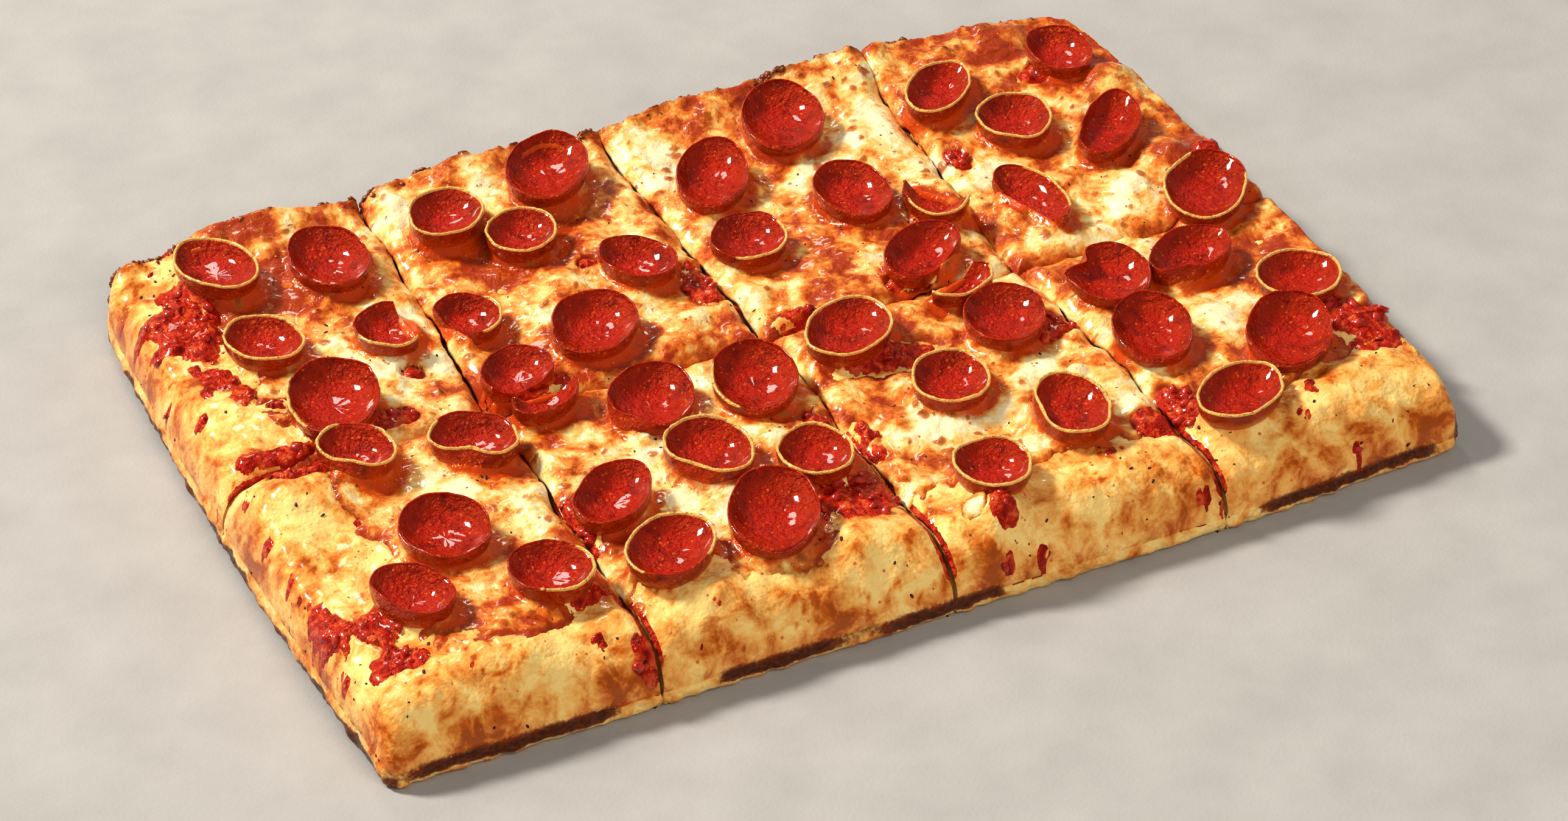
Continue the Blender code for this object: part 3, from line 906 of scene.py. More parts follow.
@dataclass
class Curl:
    """One curled piece of pepperoni, by the outline of its rim, in millimetres and degrees."""

    name: str
    length: float
    width: float
    turn: float
    rise: float = 0.0
    folds: tuple[Fold, ...] = ()
    cut: tuple[float, float] | None = None  # direction of the side cut away, distance from the middle
    gold: tuple[float, float] | None = None  # direction and half width of the stretch of rim that is charred
    height: float = 8.3
    wall: float = 1.8
    rim_wall: float = 0.85
    bead: float = 0.45  # thickness of the charred bead on the rim
    base_share: float = 0.80
    rise_direction: float = 64.0
    base_rings: tuple[float, ...] = (0.02, 0.5, 0.93)  # shares of the base's outline
    outer_levels: tuple[float, ...] = (0.03, 0.10, 0.2, 0.32, 0.45, 0.58, 0.71, 0.83, 0.92)
    rim_turns: tuple[int, ...] = (-10, 35, 80, 125, 170, 200)
    inner_levels: tuple[float, ...] = (0.94, 0.85, 0.73, 0.60, 0.47, 0.35, 0.24, 0.15, 0.08, 0.03, 0.008)
    outer_power: float = 3.0
    inner_power: float = 0.27
    floor_lift: float = 0.9  # how far the inside's floor lies above the wall's thickness
    least_radius: float = 0.02
    rim_level: float = 0.985
    char_fade: float = 12.0  # degrees over which the char fades along the rim
    sides: int = 84

    def __post_init__(self) -> None:
        """Works out the shape round the middle of the rim, then its place from the solid's box."""
        self.seed = sum(ord(letter) * (i + 3) for i, letter in enumerate(self.name))
        self.rng = np.random.default_rng(self.seed)
        self.angle = np.linspace(0, 2 * np.pi, self.sides, endpoint=False)
        self.uneven = self.wobble(0.014, (2, 3, 5))
        self.lift = self.wobble(0.26, (2, 3, 5))
        self.knobs = self.wobble(0.10, (17, 23, 29, 37))
        self.rings = self.profile()
        points = np.concatenate([ring[0] for ring in self.rings])
        if self.cut:
            out = self.outward()
            points = points[points[:, 0] * out[0] + points[:, 1] * out[1] <= self.cut[1]]
        low, high = (np.array(corner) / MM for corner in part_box(self.node))
        middle = (points[:, :2].min(0) + points[:, :2].max(0)) / 2
        self.x, self.y = (low[:2] + high[:2]) / 2 - middle
        self.base = low[2]

    @property
    def node(self) -> str:
        """Name of the solid that this piece stands for."""
        return f"pepperoni_{self.name}"

    def wobble(self, size: float, counts: tuple[int, ...]) -> Array:
        """An uneven wave round the rim, made of a few even ones.

        Args:
            size: How high each even wave may be.
            counts: How often each even wave goes round.

        Returns:
            The wave, one number for each side.
        """
        total = np.zeros(self.sides)
        for count in counts:
            high = size * self.rng.uniform(0.4, 1.0)
            total += high * np.cos(count * self.angle + self.rng.uniform(0, WAVE_TURN))
        return total

    def outward(self) -> tuple[float, float]:
        """The direction of the side that was cut away."""
        angle = math.radians(self.cut[0])
        return math.cos(angle), math.sin(angle)

    def away(self, direction: float) -> Array:
        """Degrees between each point of the rim and a direction."""
        return np.abs((np.degrees(self.angle) + self.turn - direction + 180) % 360 - 180)

    def ring(self, share: float, level: float, shrink: float = 0.0) -> Array:
        """Points of one ring.

        Args:
            share: Share of the rim's radius.
            level: Share of the rim's height.
            shrink: How far the ring lies inside that outline.

        Returns:
            One row of X, Y and Z for each side.
        """
        grown = share * (1 + self.uneven * level)
        along = np.maximum(self.length / 2 * grown - shrink, self.least_radius) * np.cos(self.angle)
        across = np.maximum(self.width / 2 * grown - shrink, self.least_radius) * np.sin(self.angle)
        for bend in self.folds:
            pushed = 1 - bend.share * level**1.5 * np.exp(-((self.away(bend.direction) / bend.width) ** 2))
            along, across = along * pushed, across * pushed
        turn, high = math.radians(self.turn), math.radians(self.rise_direction)
        x = along * math.cos(turn) - across * math.sin(turn)
        y = along * math.sin(turn) + across * math.cos(turn)
        outward = (x * math.cos(high) + y * math.sin(high)) / (self.width / 2)
        z = level * (self.height + self.rise * outward + self.lift)
        return np.stack([x, y, z], axis=1)

    def charred(self) -> Array:
        """How much of the rim is charred golden at each side, from 0 to 1.

        Returns:
            One share for each side.
        """
        if self.gold is None:
            return np.zeros(self.sides)
        edge = (self.gold[1] - self.away(self.gold[0])) / self.char_fade
        return smooth(edge * 0.5 + 0.5 + self.knobs)

    def profile(self) -> list[tuple[Array, float, float, Array]]:
        """All rings from the middle of the base, up the outside, over the rim and down the inside.

        Returns:
            For each ring its points, 1 inside and 0 outside, its level, and its char.
        """
        none, char = np.zeros(self.sides), self.charred()
        rings = [(self.ring(self.base_share * share, 0.0), 0.0, 0.0, none) for share in self.base_rings]
        for level in self.outer_levels:
            share = self.base_share + (1 - self.base_share) * (1 - (1 - level) ** self.outer_power)
            rings.append((self.ring(share, level), 0.0, level, none))
        thick = self.rim_wall / 2
        beading = char * (self.bead / 2 + self.knobs * 0.9)
        for turn in self.rim_turns:
            lean, rise = math.cos(math.radians(turn)), math.sin(math.radians(turn))
            points = self.ring(1.0, self.rim_level, thick)
            spread = points[:, :2] / np.linalg.norm(points[:, :2], axis=1)[:, None]
            size = thick * 0.9 + beading * 0.6
            points[:, :2] += spread * (size * lean)[:, None]
            points[:, 2] += size * rise
            rings.append((points, 0.0 if turn < 60 else 1.0, 1.0, char))
        floor = self.wall + self.floor_lift
        for level in self.inner_levels:
            share = level**self.inner_power
            thin = self.rim_wall + (self.wall - self.rim_wall) * (1 - level)
            points = self.ring(share, level, thin * share)
            points[:, 2] = np.maximum(points[:, 2], 0) * (1 - floor / self.height) + floor
            rings.append((points, 1.0, level, none))
        points = self.ring(self.least_radius, 0.0)
        points[:, 2] = floor
        rings.append((points, 1.0, 0.0, none))
        return rings

    def reach(self, x: Array, y: Array) -> Array:
        """How far out places lie, as a share of the base's outline.

        Args:
            x: Places on the real outline, along X.
            y: Places on the real outline, along Y.

        Returns:
            The share for each place.
        """
        turn = math.radians(self.turn)
        dx, dy = x - self.x, y - self.y
        along = (dx * math.cos(turn) + dy * math.sin(turn)) / (self.length / 2)
        across = (dy * math.cos(turn) - dx * math.sin(turn)) / (self.width / 2)
        return np.hypot(along, across) / self.base_share

    def distance(self, x: Array, y: Array) -> Array:
        """Distance from the base's outline in millimetres, less than 0 under the piece.

        Args:
            x: Places on the real outline, along X.
            y: Places on the real outline, along Y.

        Returns:
            The distance for each place.
        """
        far = (self.reach(x, y) - 1) * self.base_share * (self.length + self.width) / 4
        if self.cut:
            out = self.outward()
            far = np.maximum(far, (x - self.x) * out[0] + (y - self.y) * out[1] - self.cut[1])
        return far

    def build(self, material: bpy.types.Material) -> bpy.types.Object:
        """Makes the piece and puts it in its solid's place.

        Args:
            material: The finish.

        Returns:
            The piece.
        """
        skin = Skin()
        count = len(self.rings)
        points = np.concatenate([ring[0] for ring in self.rings])
        ripple = rough(points[:, 0] + 7 * self.seed, points[:, 1] + 0.7 * points[:, 2], 5.0, 11, 3)
        raised = np.clip(points[:, 2:3] / self.height, 0, 1)
        spread = points[:, :2] / np.maximum(np.linalg.norm(points[:, :2], axis=1), 1.0)[:, None]
        points[:, :2] += spread * ripple[:, None] * 0.30 * raised
        inner = np.repeat([ring[1] for ring in self.rings], self.sides)
        points[:, 2] += inner * (1 - raised[:, 0]) * ripple * 0.45
        index = np.arange(count * self.sides).reshape(count, self.sides)
        beside = np.roll(index, -1, axis=1)
        faces = np.stack([index[:-1], beside[:-1], beside[1:], index[1:]], axis=-1).reshape(-1, 4)
        skin.add(
            points + np.array([self.x, self.y, self.base]),
            [faces, index[:1, ::-1], index[-1:]],
            inner=inner,
            level=np.repeat([ring[2] for ring in self.rings], self.sides),
            char=np.concatenate([ring[3] for ring in self.rings]),
        )
        obj = skin.build(f"curl_{self.name}", material)
        if self.cut:
            self.cut_away(obj.data)
        return obj

    def cut_away(self, mesh: bpy.types.Mesh) -> None:
        """Removes the side that the knife took, and closes the cut.

        Args:
            mesh: The piece's mesh, which is changed.
        """
        bm = bmesh.new()
        bm.from_mesh(mesh)
        out = Vector((*self.outward(), 0))
        at = Vector((self.x, self.y, 0)) + out * self.cut[1]
        everything = bm.verts[:] + bm.edges[:] + bm.faces[:]
        cut = bmesh.ops.bisect_plane(bm, geom=everything, plane_co=at * MM, plane_no=out, clear_outer=True)
        edges = [part for part in cut["geom_cut"] if isinstance(part, bmesh.types.BMEdge)]
        bmesh.ops.triangle_fill(bm, edges=edges, use_beauty=True, normal=out)
        bmesh.ops.recalc_face_normals(bm, faces=bm.faces)
        bm.to_mesh(mesh)
        bm.free()
        mesh.shade_smooth()
        mesh.set_sharp_from_angle(angle=math.radians(60))


ROUND = (0.0, 200.0)  # a rim charred all the way round


def curls() -> list[Curl]:
    """All the pepperoni, slice by slice.

    Returns:
        The pieces, from the back left to the front right.
    """
    return [
        Curl("a1_1", 36, 26, 110, gold=ROUND),
        Curl("a1_2", 35, 28, 100, rise=1.5),
        Curl("a1_3", 31, 25, 115, gold=ROUND),
        Curl("a1_4", 27, 25, 80, cut=(0, 6), gold=(262, 75)),
        Curl("a1_5", 37, 32, 70, rise=2.5, gold=(175, 35)),
        Curl("a2_1", 31, 27, 50, gold=ROUND),
        Curl("a2_2", 40, 30, 55, rise=1.5),
        Curl("a2_3", 28, 26, 60, gold=ROUND),
        Curl("a2_4", 30, 24, 120),
        Curl("a2_5", 26, 24, 110, cut=(200, 6), gold=(335, 60)),
        Curl("a2_6", 35, 30, 50, rise=1.5),
        Curl("a2_7", 30, 25, 50, cut=(275, 6)),
        Curl("a3_1", 40, 31, 75, rise=2.0),
        Curl("a3_2", 40, 27, 60, rise=1.5),
        Curl("a3_3", 35, 27, 95, rise=1.0),
        Curl("a3_4", 30, 28, 50, gold=(300, 70)),
        Curl("a3_5", 32, 25, 70, cut=(40, 1), gold=(262, 80)),
        Curl("a3_6", 36, 25, 35, rise=1.0, cut=(300, 8)),
        Curl("a4_1", 38, 23, 43, gold=ROUND),
        Curl("a4_2", 31, 28, 80, folds=(Fold(30, -0.14, 22),), gold=ROUND),
        Curl("a4_3", 32, 24, 85, rise=0.5),
        Curl("a4_4", 42, 23, 47, rise=0.5, folds=(Fold(140, 0.18, 40),)),
        Curl("a4_5", 40, 23, 95, cut=(198, 4), gold=(5, 50)),
        Curl("a4_6", 42, 30, 50, rise=1.0, gold=(215, 130)),
        Curl("b1_1", 29, 24, 120, folds=(Fold(225, 0.30),), gold=(240, 150)),
        Curl("b1_2", 32, 27, 135, folds=(Fold(238, 0.50),), gold=(240, 120)),
        Curl("b1_3", 33, 29, 110, rise=1.5),
        Curl("b1_4", 31, 24, 115, folds=(Fold(205, 0.22),)),
        Curl("b1_5", 29, 26, 125, gold=(310, 75)),
        Curl("b2_1", 36, 30, 50, rise=1.5, folds=(Fold(212, 0.28),)),
        Curl("b2_2", 36, 30, 75, rise=2.0, gold=(180, 40)),
        Curl("b2_3", 35, 24, 40, rise=0.5),
        Curl("b2_4", 33, 29, 110, rise=1.0, folds=(Fold(218, 0.32),), gold=ROUND),
        Curl("b2_5", 28, 26, 90, gold=ROUND),
        Curl("b2_6", 35, 28, 40, gold=(80, 130)),
        Curl("b2_7", 40, 31, 65, rise=2.0),
        Curl("b2_8", 28, 20, 30, cut=(95, 3)),
        Curl("b3_1", 37, 29, 35, gold=ROUND),
        Curl("b3_2", 31, 27, 60, gold=ROUND),
        Curl("b3_3", 34, 29, 60, rise=0.5),
        Curl("b3_4", 36, 27, 80, folds=(Fold(165, 0.22),), gold=ROUND),
        Curl("b3_5", 28, 26, 90, gold=ROUND),
        Curl("b3_6", 27, 17, 15, cut=(115, 3), gold=(280, 90)),
        Curl("b4_1", 34, 29, 75, rise=1.0, folds=(Fold(125, 0.38, 20), Fold(160, -0.16, 16))),
        Curl("b4_2", 38, 25, 25, folds=(Fold(250, 0.42),)),
        Curl("b4_3", 37, 28, 70, rise=1.5, folds=(Fold(230, -0.12, 20),)),
        Curl("b4_4", 31, 29, 0, gold=ROUND),
        Curl("b4_5", 40, 30, 55, rise=2.0),
        Curl("b4_6", 36, 26, 25, gold=ROUND),
    ]


# ---------------------------------------------------------------- slices


class Patch(NamedTuple):
    """An area of one slice: its middle as shares of the slice's width and depth, and its two radii."""

    u: float
    v: float
    long: float
    wide: float
    turn: float = 0.0
    strength: float = 1.0


@dataclass
class Layers:
    """What lies over each place of a grid: heights in millimetres, and shares from 0 to 1."""

    crust: Array
    sauce: Array
    cheese: Array
    sauce_here: Array
    cheese_here: Array
    values: dict[str, Array]


@dataclass
class Slice:
    """One slice: crust, crushed tomato and melted cheese, with where each of them shows."""

    form: PizzaForm
    curls: list[Curl]
    row: str
    column: int
    sauce: Spots = ()
    cheese: Spots = ()
    warm: Spots = ()
    raised: Spots = ()  # lumps and bubbles, with their height for a strength
    scorched: Spots = ()
    bare_left: float = 0.0  # width of the bare crust along the left end
    bare_front: float = 0.0  # and along the front
    warmth: float = 0.30
    crust_step: float = 1.25
    sauce_step: float = 1.4
    cheese_step: float = 0.85
    cheese_thickness: float = 2.0
    edge_steps: tuple[float, ...] = (0.0, 0.35, 0.8, 1.4, 2.2)
    wall_levels: tuple[float, ...] = (
        0.95, 0.88, 0.8, 0.71, 0.62, 0.53, 0.44, 0.35, 0.26, 0.17, 0.09, 0.03, 0.0
    )
    reach_x: float = 90.0  # how far from the slice's middle a piece of pepperoni can matter
    reach_y: float = 110.0
    dent: float = 3.4  # depth of the dough's hollow under a piece
    climb: float = 1.8  # how high the cheese climbs at a piece's foot
    oil_reach: float = 4.2
    oil_drift: tuple[float, float] = (3.4, -2.4)  # how far the painted warm shade lies from each piece of pepperoni, towards where its shadow falls
    fringe_height: float = 2.4
    band_height: float = 4.8  # middle of the dark band along the foot of the front
    band_half: float = 2.5
    crust_fold: float = 70.0  # degrees past which an edge of the crust is sharp
    ooze_reach: float = 2.2

    @property
    def name(self) -> str:
        """The row's letter and the column's number."""
        return f"{self.row}{self.column}"

    def lines(self, low: float, high: float, step: float) -> Array:
        """Grid positions from low to high, close together at both ends.

        Args:
            low: The first position.
            high: The last position.
            step: About how far apart they are in between.

        Returns:
            The positions.
        """
        near = [low + s for s in self.edge_steps]
        far = [high - s for s in reversed(self.edge_steps)]
        count = max(2, round((far[0] - near[-1]) / step))
        return np.array(near + list(np.linspace(near[-1], far[0], count + 1)[1:-1]) + far)

    def grid(self, step: float) -> tuple[Array, Array, Array, Array]:
        """Places of a grid on the plain rectangle and on the real outline.

        Args:
            step: About how far apart they are.

        Returns:
            Places along X and Y on the rectangle, then on the real outline.
        """
        left, right, front, back = self.form.span(self.row, self.column)
        s, t = np.meshgrid(self.lines(left, right, step), self.lines(front, back, step))
        x, y = self.form.place(s, t, self.row, self.column)
        return s, t, x, y

    def paint(self, spots: Spots, x: Array, y: Array) -> Array:
        """Adds up patches, each strongest in its middle.

        Args:
            spots: The numbers of each patch.
            x: Places on the real outline, along X.
            y: Places on the real outline, along Y.

        Returns:
            The sum for each place.
        """
        left, right, front, back = self.form.span(self.row, self.column)
        total = np.zeros_like(x)
        for patch in (Patch(*numbers) for numbers in spots):
            dx, dy = x - (left + patch.u * (right - left)), y - (front + patch.v * (back - front))
            turn = math.radians(patch.turn)
            along = (dx * math.cos(turn) + dy * math.sin(turn)) / patch.long
            across = (dy * math.cos(turn) - dx * math.sin(turn)) / patch.wide
            total = total + patch.strength * np.exp(-0.9 * (along**2 + across**2) ** 1.5)
        return total

    def layers(self, s: Array, t: Array, x: Array, y: Array) -> Layers:
        """Heights of the three layers, and what is painted on them.

        Args:
            s: Places on the plain rectangle, along X.
            t: Places on the plain rectangle, along Y.
            x: The same places on the real outline, along X.
            y: The same places on the real outline, along Y.

        Returns:
            The layers.
        """
        form = self.form
        shift_x, shift_y = form.shift
        away, shade = np.full_like(x, FAR), np.full_like(x, FAR)
        top = form.open_top(x, y)
        for curl in self.curls:
            off_x, off_y = curl.x - shift_x - x.mean(), curl.y - shift_y - y.mean()
            if abs(off_x) > self.reach_x or abs(off_y) > self.reach_y:
                continue
            hold = 1 - smooth((curl.reach(x + shift_x, y + shift_y) - 0.98) / 0.34)
            top = top + hold * (curl.base + form.seat_cover - top)
            away = np.minimum(away, curl.distance(x + shift_x, y + shift_y))
            # Distance to each piece's outline moved towards where its shadow falls: the oil-orange laid
            # there is painted warm shade.
            shaded_x, shaded_y = x + shift_x - self.oil_drift[0], y + shift_y - self.oil_drift[1]
            shade = np.minimum(shade, curl.distance(shaded_x, shaded_y))
        top = top - self.dent * smooth((-away - 0.9) / 1.2)
        to_back = form.depth / 2 - t
        crisp = form.climbed(x) * 0.7 + 0.3
        fringe = crisp * np.exp(-(((to_back - 1.5) / 2.2) ** 2)) * (0.75 + 0.7 * rough(x, y, 4.0, 99, 2))
        top = top + form.back_rim_rise * (1 - smooth((form.depth / 2 - t) / form.back_rim_width))
        top = form.lip + (top - form.lip) * form.edge_fall(s, t)
        for puff in form.corner_puffs:
            top = top + form.dome(puff, x, y)
        top = top + self.paint(self.raised, x, y) * smooth((away + 1.0) / 4.0)
        top = top + self.fringe_height * fringe
        to_cut = form.to_cut(s, t, self.column)
        rounding = form.cut_edge_drop * (1 - np.clip(to_cut / form.cut_edge_width, 0, 1)) ** 2
        to_line = np.minimum.reduce([np.abs(s - line) for line in form.lines[1:-1]])
        rounding = rounding * (1 + 0.9 * np.exp(-((np.hypot(to_line, t - form.long_cut) / 20.0) ** 2)))
        top = top - rounding * np.clip((top - form.lip) / (form.thickness - form.lip), 0, 1)

        to_left, to_front = s + form.length / 2, t + form.depth / 2
        to_edge = np.minimum.reduce([to_left, to_front, form.length / 2 - s, to_back])
        stray = rough(x, y, 16.0, 21, 4)
        bare = np.full_like(x, -BARE_FADE)
        for width, at in ((self.bare_left, to_left), (self.bare_front, to_front)):
            if width:
                bare = np.maximum(bare, (width - at) / BARE_FADE)
        bare = smooth((bare + stray * 0.9) * 0.5 + 0.5)
        sauce_paint = self.paint(self.sauce, x, y)
        cheese_paint = self.paint(self.cheese, x, y)
        broken = rough(x, y, 8.0, 33, 4)
        sauce_field = 1.9 * sauce_paint - 0.80 - 0.5 * cheese_paint + 0.90 * broken
        cheese_field = 0.95 - 1.7 * bare - 2.1 * sauce_paint + 1.5 * cheese_paint
        cheese_field = cheese_field + 0.5 * rough(x, y, 10.0, 41, 4)
        cheese_field = cheese_field - 1.9 * (1 - smooth((to_edge + 1.1 * stray) / 3.4))
        cheese_cover = smooth((cheese_field + 0.05) / 0.35)
        sauce_cover = smooth((sauce_field + 0.05) / 0.4)
        calm = smooth((away + 0.2) / 2.2)

        lumps = rough(x, y, 15.0, 51, 2)
        bubbles = blots(x, y, 13.0, 0.5, (2.0, 5.5), 53)
        dough = (lumps * 1.1 + rough(x, y, 6.0, 52, 3) * 0.5 + bubbles * 1.2) * calm
        inward = smooth(to_edge / 5.0)
        climb = self.climb * np.exp(-np.abs(away - 0.4) / 1.7)
        crust = top - 1.2 * cheese_cover - 0.5 * sauce_cover + (1 - cheese_cover) * bare * dough * inward
        chunks = np.abs(rough(x, y, 5.5, 61, 3)) * 1.5 + rough(x, y, 2.6, 62, 2) * 0.3
        sauce = crust + np.where(sauce_field > 0, 1.3 * sauce_cover, 1.6 * sauce_field)
        sauce = sauce + chunks * sauce_cover * calm - 0.2
        warp_x, warp_y = x + 0.9 * rough(x, y, 3.5, 71, 2), y + 0.9 * rough(x, y, 3.5, 72, 2)
        small = blots(warp_x, warp_y, 7.0, 0.55, (1.1, 3.3), 73)
        large = blots(warp_x, warp_y, 31.0, 0.45, (3.0, 6.0), 77)
        full = self.cheese_thickness * smooth(cheese_field / 0.45)
        thick = np.where(cheese_field > 0, full, 2.6 * cheese_field)
        soft = lumps * 1.3 + rough(x, y, 7.0, 54, 3) * 0.75
        soft = (soft + smooth(small * 1.3) * 0.5 + smooth(large * 1.3) * 1.3) * calm
        cheese = crust + thick + (soft + climb) * cheese_cover * inward

        # Oil: a real oil stain round each piece of pepperoni, and the same orange laid in its shadow as
        # painted warm shade; both also warm the cheese's tone.
        oil = np.exp(-((np.maximum(np.minimum(away, shade), 0) / self.oil_reach) ** 2))
        tint = rough(x, y, 26.0, 81, 3)
        warm = self.warmth + 0.15 + 0.28 * tint + self.paint(self.warm, x, y) + 0.46 * oil - 0.10 * lumps
        warm = warm + 0.45 * (1 - smooth(cheese_field / 0.8)) + 0.18 * (1 - smooth(to_edge / 12.0))
        toast = smooth(small * 1.5) * (0.60 + 0.60 * smooth(swell(x, y, 19.0, 83) + 0.6))
        toast = toast + smooth(large * 1.4) * 0.4 + 0.35 * (1 - smooth(to_edge / 4.0))
        baked = 0.26 + 0.20 * rough(x, y, 12.0, 84, 4) + 0.16 * dough * bare
        baked = baked + 0.25 * (1 - smooth(to_edge / 7.0))
        specks = blots(warp_x, warp_y, 5.0, 0.40, (0.6, 1.9), 85)
        baked = baked + 0.5 * smooth(specks * 2.5) * smooth(swell(x, y, 23.0, 86) + 0.5)
        scorch = self.paint(self.scorched, x, y) * smooth(rough(x, y, 5.0, 87, 3) + 0.45)
        toast, baked = toast + scorch + 1.4 * fringe, baked + 0.6 * scorch + 0.9 * fringe
        values = {"warm": warm, "toast": toast, "oil": oil, "baked": baked, "bare": bare, "away": away}
        return Layers(crust, sauce, cheese, sauce_field, cheese_field, values)

    def fried(self, s: Array, t: Array, x: Array, y: Array, z: Array) -> Array:
        """How dark the crust was fried by the pan, from its outer side and its height.

        Args:
            s: Places on the plain rectangle, along X.
            t: Places on the plain rectangle, along Y.
            x: Places on the real outline, along X.
            y: Places on the real outline, along Y.
            z: Heights.

        Returns:
            A share for each place, from 0 where it is pale.
        """
        form = self.form
        streak = swell(x, y, 11.0, 91) * 0.8 + swell(x, y, 4.0, 92) * 0.5
        band = np.exp(-(((z - self.band_height - 0.9 * streak) / self.band_half) ** 4))
        front = band * (1 - smooth((t + form.depth / 2) / 5.0))
        stretch = smooth(swell(x, np.zeros_like(x), 34.0, 95) * 1.6 + 0.6)
        left = (0.75 + 0.4 * streak) * (1 - smooth((z - 4.0 - 2 * streak) / 2.5))
        left = left * (1 - smooth((s + form.length / 2 - 1.0) / 4.0))
        crisp = 2.2 + 3.4 * form.climbed(x)
        back = 1 - smooth((form.depth / 2 - t - 0.4 - 0.4 * crisp) / (0.8 + 0.6 * crisp + streak))
        patchy = rough(x + 0.7 * z, y + 1.3 * z, 9.0, 96, 3)
        right = (1 - smooth((form.length / 2 - s - 0.6) / 2.6)) * (0.42 + 0.45 * patchy)
        return np.maximum.reduce([front * stretch * 0.85, left, back * (0.72 + 0.3 * patchy), right])

    def build_crust(self, material: bpy.types.Material) -> bpy.types.Object:
        """The dough: top, sides and a flat base, as one closed piece.

        Args:
            material: The finish.

        Returns:
            The piece.
        """
        form = self.form
        s, t, x, y = self.grid(self.crust_step)
        made = self.layers(s, t, x, y)
        rows, columns = x.shape
        index = np.arange(rows * columns).reshape(rows, columns)
        rim = np.concatenate([index[0], index[1:, -1], index[-1, -2::-1], index[-2:0:-1, 0]])
        skin = Skin()
        skin.add(
            self.moved(x, y, made.crust),
            [grid_faces(rows, columns)],
            toast=made.values["baked"].ravel(),
            fried=self.fried(s, t, x, y, made.crust).ravel(),
            seep=0.0,
            oil=(0.4 + 0.6 * made.values["oil"]).ravel(),
        )
        rs, rt, rx, ry, rz = (a.ravel()[rim] for a in (s, t, x, y, made.crust))
        ahead, behind = np.roll(np.arange(len(rim)), -1), np.roll(np.arange(len(rim)), 1)
        along = np.stack([rx[ahead] - rx[behind], ry[ahead] - ry[behind]])
        out = np.stack([along[1], -along[0]]) / np.maximum(np.hypot(*along), 1e-6)
        outer = (np.abs(rs) > form.length / 2 - 0.5) | (np.abs(rt) > form.depth / 2 - 0.5)
        walked = np.cumsum(np.hypot(rx - rx[behind], ry - ry[behind]))
        last = rim
        for share in np.array(self.wall_levels):
            z = rz * share
            crisp = rough(walked, z * 1.3, 4.5, 97, 3)
            bulge = np.where(outer, 0.9 * math.sin(math.pi * share) + 0.75 * crisp, 0.25 * crisp)
            bulge = bulge * math.sin(math.pi * min(1.0, 4 * (1 - share)) ** 0.5 / 2)
            inset = -1.5 * (1 - share) ** 8 * np.where(outer, 1.0, 0.4)
            wx, wy = rx + out[0] * (bulge + inset), ry + out[1] * (bulge + inset)
            crumb = 0.10 + 0.16 * crisp + 0.35 * (1 - smooth(z / 4.0))
            dark = np.where(outer, self.fried(rs, rt, rx, ry, z), 0.15 * (1 - smooth(z / 3.0)))
            start = skin.add(
                self.moved(wx, wy, z),
                [],
                toast=np.where(outer, 0.35 + 0.25 * crisp, crumb),
                fried=dark,
                seep=np.where(outer, 0.0, smooth((share - 0.55) / 0.3) * (0.55 + 0.5 * crisp)),
                oil=0.3,
            )
            ring = start + np.arange(len(rim))
            skin.faces.append(np.stack([last, ring, ring[ahead], last[ahead]], axis=1))
            last = ring
        middle = self.moved(np.array([rx.mean()]), np.array([ry.mean()]), np.zeros(1))
        centre = skin.add(middle, [], toast=0.6, fried=0.3, seep=0.0, oil=0.2)
        skin.faces.append(np.stack([last, np.full(len(rim), centre), last[ahead]], axis=1))
        obj = skin.build(f"crust_{self.name}", material)
        obj.data.set_sharp_from_angle(angle=math.radians(self.crust_fold))
        return obj

    def moved(self, x: Array, y: Array, z: Array) -> Array:
        """Points of the real outline, moved to where the solids lie."""
        shift_x, shift_y = self.form.shift
        return np.stack([x.ravel() + shift_x, y.ravel() + shift_y, z.ravel()], axis=1)

    def build_sauce(self, material: bpy.types.Material) -> bpy.types.Object:
        """The crushed tomato: where it shows, and a thin seam along the cuts.

        Args:
            material: The finish.

        Returns:
            The piece.
        """
        s, t, x, y = self.grid(self.sauce_step)
        made = self.layers(s, t, x, y)
        seam = 1 - smooth((self.form.to_cut(s, t, self.column) - 1.0) / 2.0)
        inside = np.minimum(self.form.length / 2 - np.abs(s), self.form.depth / 2 - np.abs(t)) > 3.0
        top = np.maximum(made.sauce, made.crust + 0.5 * seam * inside - 0.2)
        here = (made.sauce_here > -0.30) & (made.cheese_here < 0.7) | (seam > 0.05) & inside
        keep = here[:-1, :-1] | here[1:, :-1] | here[:-1, 1:] | here[1:, 1:]
        shift_x, shift_y = self.form.shift
        skin = Skin()
        add_layer(skin, x + shift_x, y + shift_y, top, np.minimum(top - 0.5, made.crust - 0.7), keep)
        return skin.build(f"sauce_{self.name}", material)

